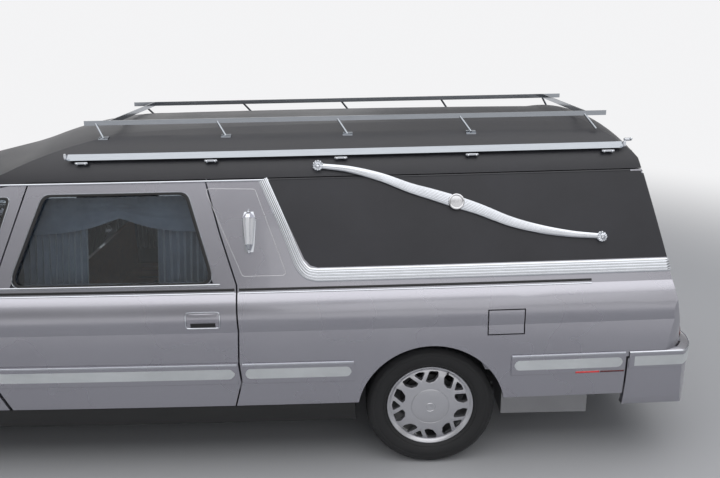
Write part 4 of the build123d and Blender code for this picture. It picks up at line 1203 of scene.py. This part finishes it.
def headlampGrid():
    # columns run round the nose from the grille to the fender seam, rows run down the lamp
    h = headlamp
    rows = []
    for z in np.linspace(h["top"], h["top"] - h["tall"], h["rows"]):
        path = frontPath(z, 500, rear=-2.860)
        r = np.hypot(z + h["noseAxisZ"], path[:, 1]) - h["noseAxisZ"]
        path[:, 0] = np.maximum(path[:, 0], np.interp(r, h["nose"][:, 1], h["nose"][:, 0]))
        end = -2.869 - (z - .572) * .030 / .174
        rows.append(evenly(path[(path[:, 1] <= h["inner"]) & (path[:, 0] <= end)], h["columns"]))
    grid = np.stack(rows, 1)
    normal = unit(np.cross(np.gradient(grid, axis=1), np.gradient(grid, axis=0)))
    return grid, normal * np.where(normal[..., :1] > 0, -1, 1)


def makeHeadlamps():
    h = headlamp
    grid, normal = headlampGrid()
    u, v = plane((0, 1, h["columns"]), (0, 1, h["rows"]))
    rim = np.minimum(np.minimum(u, 1 - u) * 4, np.minimum(v, 1 - v)) * 2

    def sunk(inset):
        return grid + normal * inset[..., None]
    lens = wrapped(sunk(.0006 * np.minimum(1, rim * 6)), sunk(-.0032 - .0008 * np.cos(u * 70 * np.pi)))
    bowl = sunk(-.006 - .046 * np.clip(1 - (1 - np.minimum(1, rim * 1.6)) ** 2, 0, 1))
    bowls = Pile().add(bowl)
    for share in (.20, .50):
        centre = bowl[int(h["columns"] * share), h["rows"] // 2] + [-.004, 0, 0]
        bowls.spun(turned(h["bulb"], centre, (-1, 0, 0), 24))
    clear, amber = (Pile().rod(part).flipped() for part in (lens[:h["split"]], lens[h["split"]:]))
    pieces = bothSides(clear, "headlampLens", "body", lampClear, "lamp_glass")
    bothSides(amber, "cornerLens", "body", amberLens, "lamp_glass")
    bothSides(bowls.flipped(), "headlampBowl", "body", mirrorFace, "chrome")
    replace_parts(pieces[0], "headlamps")


def grillePoint(y, z):
    # flat plane just ahead of the grille's bars
    flat = np.stack([np.full(y.shape, grilleBox["x"]), y, z], -1)
    return flat, np.broadcast_to([-1.0, 0, 0], flat.shape)


makeHeadlamps()
surround = ringOn(grillePoint, roundedBox(*grilleBox["box"], .010), flatBar(.007, .006))
surround.make("grilleSurround", "body", chrome, "chrome")
print("lamps made")


# roof: twin studs under the side rails, end caps, welt and the hook at the rear corner

roofTrim = {
    "studs": (.063, .701, 1.341, 1.991, 2.673), "caps": (-.012, 2.752),
    "stud": [(.0002, .0145), (.0045, .0135), (.0065, .0105), (.0060, .006), (.0075, .003), (.0075, 0),
             (.0002, 0)],
    "hook": [(.0002, .022), (.005, .021), (.007, .016), (.005, .010), (.005, 0), (.0002, 0)],
    "welt": [(-.002, .0062), (.0022, .0050), (.0042, 0), (.0022, -.0050), (-.002, -.0062)],
}


def makeRoofTrim():
    def block(x, z, out, size, power):
        return superBox(sidePoint(x, z, out)[0], size, power, 10, 24)
    studs, caps, hook = Pile(), Pile(), Pile()
    for x in roofTrim["studs"]:
        studs.spun(block(x, 1.590, .003, (.032, .007, .0055), 6))
        for dx in (-.020, .020):
            studs.spun(turned(roofTrim["stud"], *sidePoint(x + dx, 1.586), 16))
    for x in roofTrim["caps"]:
        caps.spun(block(x, 1.6175, .018, (.0065, .0055, .0150), 5))
    centre, normal = sidePoint(2.775, 1.640)
    hook.spun(block(2.775, 1.640, .006, (.020, .008, .008), 4))
    hook.spun(turned(roofTrim["hook"], centre + [.012, 0, 0], normal, 16))
    for pile, name in ((studs, "railStuds"), (caps, "railCaps"), (hook, "cornerHook")):
        bothSides(pile, name, "body", chrome, "chrome")
    # piping along the seam between the roof's vinyl and the cover on the rear quarter
    bothSides(sideRod(.985, 2.78, 1.4965, roofTrim["welt"], 60), "roofWelt", "body", vinyl, "black_vinyl")


makeRoofTrim()
print("roof trim made")


# fuel door: the bowl behind it with the filler cap in it

fuelPocket = {
    "bowl": (2.030, 2.239, 0.891, 0.741), "corner": 0.018, "rim": 0.0185, "floor": 0.105, "wall": 0.0025,
    "cap": (2.150, 0.812), "capRadius": 0.036, "capTop": 0.062, "grip": (2.124, 2.176, 0.818, 0.806),
}


def inwardRings(loop, rings):
    # a loop on the side, shrunk and sunk: point = skin(middle + (loop - middle) * size) - depth
    middle = loop.mean(0)
    size, depth = np.array(rings, float).T
    flat = middle + (loop - middle) * size[:, None, None]
    return sidePoint(flat[..., 0], flat[..., 1], -np.broadcast_to(depth[:, None], flat.shape[:2]))[0]


def makeFuelPocket():
    f = fuelPocket
    floor, rim, top, back = f["floor"], f["rim"], f["capTop"], f["floor"] + f["wall"]
    bowl = [(0, back), (1.03, back), (1.03, rim), (1, rim), (1, floor - .012), (.985, floor - .004),
            (.95, floor), (0, floor)]
    lid = [(0, floor), (1, floor), (1, top + .004), (.95, top), (.88, top), (.84, top + .003),
           (0, top + .003)]
    grip = [(0, top + .003), (1, top + .003), (1, top - .006), (.88, top - .009), (0, top - .009)]
    pocket = Pile().add(inwardRings(roundedBox(*f["bowl"], f["corner"]), bowl), closeV=True)
    pocket.make("fuelBowl", "body", chassisBlack, "black_steel")
    cap = Pile().add(inwardRings(np.array(f["cap"]) + circle(f["capRadius"], 48), lid), closeV=True)
    cap.add(inwardRings(roundedBox(*f["grip"], .004), grip), closeV=True)
    cap.make("fuelCap", "body", panelBlack, "dark_trim")


makeFuelPocket()
print("fuel bowl made")


# casket deck: rub strips, roller sleeves and bier pins

deck = {
    "top": .6402, "stripY": (-.30, -.18, .18, .30), "stripX": (-.05, 2.74),
    "pinX": (.30, 2.45), "pinY": (-.24, .24),
    "pin": [(.0002, .120), (.010, .118), (.015, .110), (.015, .070), (.0175, .066), (.0175, .012),
            (.030, .008), (.033, .0), (.0002, .0)],
    "cup": [(.0002, .0065), (.018, .0065), (.024, .004), (.026, .0), (.0002, .0)],
    "sleeve": [(.0175, -.030), (.0198, -.028), (.0198, .028), (.0175, .030)],
    "sleeveY": (-.36, -.12, .12, .36), "rollers": (10, .120, .280, .655),
}


def bar(a, b, width, height):
    # long low bar of rounded section between two points on one level
    a, b = np.asarray(a, float), np.asarray(b, float)
    path = a + (b - a) * np.linspace(0, 1, 8)[:, None]
    section = [(0, width), (height * .7, width), (height, width * .85), (height, -width * .85),
               (height * .7, -width), (0, -width)]
    return alongPath(path, [0, 0, 1.0], unit(np.cross(b - a, [0, 0, 1.0])), section)


def makeDeckTrim():
    d = deck
    x0, x1 = d["stripX"]
    strips, pins, rings = Pile(), Pile(), Pile()
    for y in d["stripY"]:
        strips.rod(bar((x0, y, .6400), (x1, y, .6400), .009, .0045))
    strips.rod(bar((2.795, -.50, .6400), (2.795, .50, .6400), .022, .006))
    for y in d["pinY"]:
        for x in d["pinX"]:
            pins.spun(turned(d["pin"], (x, y, d["top"]), (0, 0, 1), 28))
        for x in np.arange(.60, 2.3, .28):
            pins.spun(turned(d["cup"], (x, y, d["top"]), (0, 0, 1), 24))
    count, start, step, z = d["rollers"]
    for i in range(count):
        for y in d["sleeveY"]:
            rings.spun(turned(d["sleeve"], (start + i * step, y, z), (0, 1, 0), 20))
    strips.make("deckStrips", "body", chrome, "chrome")
    pins.make("bierPins", "body", chrome, "chrome")
    rings.make("rollerSleeves", "body", blackRubber, "dark_trim")


# dashboard: moulded skin with dials, vents and glove lid, and the steering wheel square to its column

dash = {
    "section": [(-1.610, .900), (-1.500, .922), (-1.380, .930), (-1.285, .915), (-1.248, .880),
                (-1.250, .845), (-1.262, .800), (-1.275, .740), (-1.330, .695), (-1.450, .692)],
    "half": .700, "dials": ((-.485, .036), (-.38, .046), (-.275, .036)), "vents": (-.615, -.115, .055, .600),
    "slats": (-.013, -.004, .005, .014), "lid": (.78, .97, .80, .60), "faceV": .53,
}
wheel = {
    "centre": np.array([-1.010, -.380, .930]), "axis": np.array([.250, 0, .130]), "radius": .185,
    "hub": [(.0002, .014), (.045, .011), (.066, .002), (.070, -.014), (.050, -.034), (.0002, -.039)],
    "column": [(.0002, -.03), (.026, -.03), (.030, -.10), (.034, -.235), (.0002, -.235)],
    "spokes": (0, 180, 235, 305),
    "spoke": [(.006, .0), (.004, .012), (-.004, .012), (-.006, 0), (-.004, -.012), (.004, -.012)],
}


def dashPoint(u, v):
    # section from the windscreen's foot over a rounded brow to the knees, carried across the car
    section = smoothLine(dash["section"], 8)
    t = np.linspace(0, 1, len(section))
    x, z = (np.interp(v, t, column) for column in section.T)
    y = (u * 2 - 1) * (dash["half"] - .02 * (1 - v))
    brow = .022 * np.exp(-((y + .38) / .19) ** 4) * np.exp(-((v - .38) / .12) ** 2)
    return np.stack([x + .030 * (y / .7) ** 2 * np.minimum(1, v * 2) + brow, y, z + brow * .7], -1)


def dashSkin(u, v):
    e = 1e-3
    p = dashPoint(u, v)
    normal = unit(np.cross(dashPoint(u + e, v) - p, dashPoint(u, v + e) - p))
    return p, normal * np.where(normal[:, :1] < 0, -1, 1)


def makeDashboard():
    def faceAt(y):
        return dashPoint(np.array((y / .7 + 1) / 2), np.array(dash["faceV"]))
    board = Pile().rod(dashPoint(*plane((0, 1, 90), (0, 1, 60))))
    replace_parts(board.make("dashBoard", "body", darkTrim, "dark_trim"), "dashboard")
    dials, vents = Pile(), Pile()
    for y, r in dash["dials"]:
        profile = [(.0002, .004), (r * .88, .004), (r * .92, .009), (r, .008), (r, .0), (.0002, .0)]
        dials.spun(turned(profile, faceAt(y) + [.006, 0, .0], (.97, 0, .2), 40))
    for y in dash["vents"]:
        c = faceAt(y)
        vents.spun(superBox(c, (.008, .052, .024), 6, 12, 28))
        for dz in dash["slats"]:
            vents.rod(bar(c + [.008, -.044, dz], c + [.008, .044, dz], .005, .003))
    vents.spun(superBox(dashPoint(np.array(.48), np.array(.72)), (.010, .085, .030), 8, 12, 28))
    lid = ringOn(dashSkin, roundedBox(*dash["lid"], .02), flatBar(.0025, .0018))
    dials.make("dials", "body", panelBlack, "dark_trim")
    vents.make("ventGrilles", "body", panelBlack, "dark_trim")
    lid.make("gloveLid", "body", satinChrome, "chrome")


def makeSteeringWheel():
    centre, axis = wheel["centre"], unit(wheel["axis"])
    section = circle(1, 14) * [.0135, .0155] + [wheel["radius"], .006]
    rim = Pile().ring(turned(section, centre, axis, 72))
    rim.spun(turned(wheel["hub"], centre, axis, 48)).spun(turned(wheel["column"], centre, axis, 32))
    across, rise = np.array([0, 1.0, 0]), np.cross(axis, [0, 1.0, 0])
    for a in np.radians(wheel["spokes"]):
        out = across * math.cos(a) + rise * math.sin(a)
        dip = .004 * np.sin(np.linspace(0, np.pi, 8))[:, None] - .004
        path = centre + out * np.linspace(.055, .178, 8)[:, None] + axis * dip
        rim.rod(alongPath(path, axis, np.cross(axis, out), wheel["spoke"]))
    rim.make("steeringRim", "body", darkTrim, "dark_trim")


makeDeckTrim()
makeDashboard()
makeSteeringWheel()
print("inside made")


# door linings: padded card, armrest and pull on each door's inner face

lining = {
    "depth": .0755, "front": (-1.235, -.430), "rear": (-.300, .640), "low": .430, "high": .945,
    "restZ": .700, "restRadius": .030, "pullZ": .800, "pullHalf": .075, "pullRadius": .0055,
}


def makeLinings():
    depth, z0, z1 = lining["depth"], lining["low"], lining["high"]
    up = np.array([0, 0, 1.0])
    for name in ("front", "rear"):
        body = name + "_door_%s"
        x0, x1 = lining[name]
        u, v = plane((0, 1, 60), (0, 1, 40))
        x, z = x0 + (x1 - x0) * u, z0 + (z1 - z0) * v
        edge = np.minimum(np.minimum(u, 1 - u) * 12, np.minimum(v, 1 - v) * 8)
        swell = .006 * (1 - np.exp(-edge * 2)) - .0035 * np.exp(-((v - .34) / .015) ** 2)
        card = wrapped(sidePoint(x, z, -(depth + swell))[0], sidePoint(x, z, .004 - depth)[0])
        # armrest: round section that swells and closes at both ends
        t = np.linspace(.12, .90, 40)
        path, normal = sidePoint(x0 + (x1 - x0) * t, lining["restZ"])
        thick = lining["restRadius"] * np.clip(1 - np.abs(t * 2 - 1.02) ** 8, 0, 1) ** .5
        section = thick[:, None, None] * circle(1, 20) * [-1, .8] - [depth + .024, 0]
        rest = alongPath(path, normal, up, section)
        # pull: a half hoop standing off the card
        t = np.linspace(0, np.pi, 20)
        path, normal = sidePoint((x0 + x1) / 2 + lining["pullHalf"] * np.cos(t), lining["pullZ"])
        path = path - normal * (depth + .004 + .022 * np.sin(t)[:, None] ** .5)
        pull = alongPath(path, np.cross(tangents(path), up), up * 1.6, circle(lining["pullRadius"], 10))
        bothSides(Pile().rod(card), name + "DoorCard", body, darkTrim, "dark_trim")
        bothSides(Pile().rod(rest), name + "ArmRest", body, seatLeather, "seat_leather")
        bothSides(Pile().rod(pull), name + "DoorPull", body, chrome, "chrome")


makeLinings()
print("linings made")


# drapes behind the side windows: pleated cloth hung from the roof

drape = {
    "y": -0.700, "low": .720, "top": 1.400, "depth": .014, "lean": .30, "leanFrom": .985,
    "sheets": {  # name: front x, rear x, pleats
        "drapeRearFore": (-.290, .040, 10), "drapeRearAft": (.395, .665, 8),
        "drapeTailFore": (.720, 1.500, 18), "drapeTailMid": (1.500, 2.350, 18),
    },
    "valance": (-.290, .665, 1.405, 1.225),
}


def drapeGrid(x0, x1, pleats):
    # pleats: depth * sin(phase) along x, leaning in with the body's side
    d = drape
    u, v = plane((0, 1, pleats * 12), (0, 1, 60))
    z = d["top"] + (d["low"] - d["top"]) * v
    phase = u * pleats * 2 * np.pi + 0.5 * np.sin(3.1 * v + 7 * u)
    deep = d["depth"] * (0.75 + 0.25 * v + 0.15 * np.sin(11 * u + 2 * v))
    x = x0 + (x1 - x0) * u + 0.18 * d["depth"] * np.sin(2 * phase)
    lean = d["lean"] * np.clip(z - d["leanFrom"], 0, 1)
    return np.stack([x, d["y"] - deep * np.sin(phase) + lean, z], -1)


def valanceGrid(x0, x1, top, low):
    # swags across the window's top: level folds, its hem rising to a peak at the middle
    u, v = plane((0, 1, 120), (0, 1, 50))
    hem = low + .075 * np.exp(-np.abs((u - .52) / .17) ** 1.3)
    z = top + (hem - top) * v
    folds = .0045 * np.sin(v * 7 * np.pi + .8 * np.sin(2 * np.pi * u)) * np.sin(np.pi * v)
    gather = .0035 * np.sin(u * 46 * np.pi) * (1 - v) ** 2
    y = drape["y"] - .020 + folds + gather + drape["lean"] * (z - drape["leanFrom"])
    return np.stack([x0 + (x1 - x0) * u, y, z], -1)


def makeDrapes():
    sheets = {name: drapeGrid(*span) for name, span in drape["sheets"].items()}
    sheets["drapeValance"] = valanceGrid(*drape["valance"])
    for side, s in sides.items():
        for name, grid in sheets.items():
            faces = gridFaces(*grid.shape[:2])
            piece = makeMesh(f"{name}_{side}", grid * [1, s, 1], faces, "body", drapeCloth)


makeDrapes()
print("drapes made")


# stage: floor, light and the photograph's camera

cameraSet = {"at": (1.427, -4.055, 2.235), "pitch": 17.33, "roll": 1.2, "lens": 35.0}
floorSet = {"colour": (0.56, 0.56, 0.57), "fade": (4.5, 9.0), "half": 30}
paleGlow = (0.90, 0.90, 0.91, 1)
lightSet = {
    "world": 0.36, "sky": (0.84, 0.88, 0.95, 1),
    "glossSky": [(0.0, grey(0.90)), (0.06, grey(0.90)), (0.14, grey(0.42)), (0.34, grey(0.30)),
                 (0.55, grey(0.50)), (0.75, grey(0.95))],
    "lamps": {  # name: place, aim, size, power
        "ceilingPanel": ((1.0, -1.5, 5.4), (1.0, 0, 0), (12, 7), 250),
        "windowPanel": ((3.5, -7.5, 3.6), (1.2, 0, 0.9), (7, 3), 45),
        "rearPanel": ((-2.0, 7.0, 4.0), (0, 0, 0.8), (8, 3), 45),
    },
}


def joined(tree, kind, *sources, **values):
    return addNode(tree, kind, *sources, **values).outputs[0]


def floorMaterial():
    # plain matt floor; far from the object it fades into the pale background for the camera and for gloss
    f = Finish("floorPale", Roughness=0.85)
    tree, colour = f.tree, floorSet["colour"]
    f.colour(f.noise(0.8, 4), shade(colour, 0.985), colour, 0.3, 0.7)
    far = addNode(tree, "VectorMath", f.place, operation="LENGTH").outputs["Value"]
    fade = addNode(tree, "MapRange", far, interpolation_type="SMOOTHSTEP")
    fade.inputs["From Min"].default_value, fade.inputs["From Max"].default_value = floorSet["fade"]
    path = addNode(tree, "LightPath").outputs
    seen = joined(tree, "Math", path["Is Camera Ray"], path["Is Glossy Ray"], operation="MAXIMUM")
    both = joined(tree, "Math", seen, fade.outputs["Result"], operation="MULTIPLY")
    glow = joined(tree, "Emission", Color=paleGlow, Strength=1.0)
    mix = joined(tree, "MixShader", both, f.shader.outputs[0], glow)
    # a camera under the floor looks through it
    under = addNode(tree, "NewGeometry").outputs["Backfacing"]
    below = joined(tree, "Math", under, path["Is Camera Ray"], operation="MULTIPLY")
    through = joined(tree, "MixShader", below, mix, joined(tree, "BsdfTransparent"))
    tree.links.new(through, tree.nodes["Material Output"].inputs["Surface"])
    return f.mat


def makeFloor():
    x, y = plane(*[(-floorSet["half"], floorSet["half"], 31)] * 2)
    mesh = bpy.data.meshes.new("studioFloor")
    mesh.from_pydata(np.stack([x, y, 0 * x], -1).reshape(-1, 3).tolist(), [], gridFaces(31, 31).tolist())
    mesh.materials.append(floorMaterial())
    floor = bpy.data.objects.new("studioFloor", mesh)
    bpy.context.scene.collection.objects.link(floor)


def makeWorld():
    world = bpy.data.worlds.new("studioWorld")
    bpy.context.scene.world = world
    world.use_nodes = True
    tree = world.node_tree
    back = tree.nodes["Background"]
    back.inputs["Color"].default_value = lightSet["sky"]
    back.inputs["Strength"].default_value = lightSet["world"]
    # gloss sees a backdrop that is bright at the horizon and darker overhead
    sky = joined(tree, "SeparateXYZ", addNode(tree, "TexCoord").outputs["Generated"])
    height = sky.node.outputs["Z"]
    glossy = joined(tree, "Background", ramp(tree, height, lightSet["glossSky"]), Strength=1.0)
    white = joined(tree, "Background", Color=paleGlow, Strength=1.0)
    path = addNode(tree, "LightPath").outputs
    light = joined(tree, "MixShader", path["Is Glossy Ray"], back.outputs[0], glossy)
    light = joined(tree, "MixShader", path["Is Transmission Ray"], light, white)
    light = joined(tree, "MixShader", path["Is Camera Ray"], light, white)
    tree.links.new(light, tree.nodes["World Output"].inputs["Surface"])


def makeLamps():
    for name, (at, to, size, power) in lightSet["lamps"].items():
        data = bpy.data.lights.new(name, "AREA")
        data.shape = "RECTANGLE"
        data.size, data.size_y = size
        data.energy = power
        lamp = bpy.data.objects.new(name, data)
        bpy.context.scene.collection.objects.link(lamp)
        lamp.location = at
        lamp.rotation_euler = (Vector(to) - Vector(at)).to_track_quat("-Z", "Y").to_euler()


def makeCamera():
    p, r = (math.radians(cameraSet[k]) for k in ("pitch", "roll"))
    forward, right = Vector((0, math.cos(p), -math.sin(p))), Vector((1, 0, 0))
    down = forward.cross(right)
    right, down = math.cos(r) * right + math.sin(r) * down, math.cos(r) * down - math.sin(r) * right
    data = bpy.data.cameras.new("photoCamera")
    data.sensor_width = 36
    data.lens = cameraSet["lens"]
    data.clip_end = 200
    camera = bpy.data.objects.new("photoCamera", data)
    bpy.context.scene.collection.objects.link(camera)
    turn = Matrix((right, -down, -forward)).transposed().to_4x4()
    camera.matrix_world = Matrix.Translation(cameraSet["at"]) @ turn
    bpy.context.scene.camera = camera


makeFloor()
makeWorld()
makeLamps()
makeCamera()
bpy.context.scene.view_settings.view_transform = "Standard"
print("stage made")
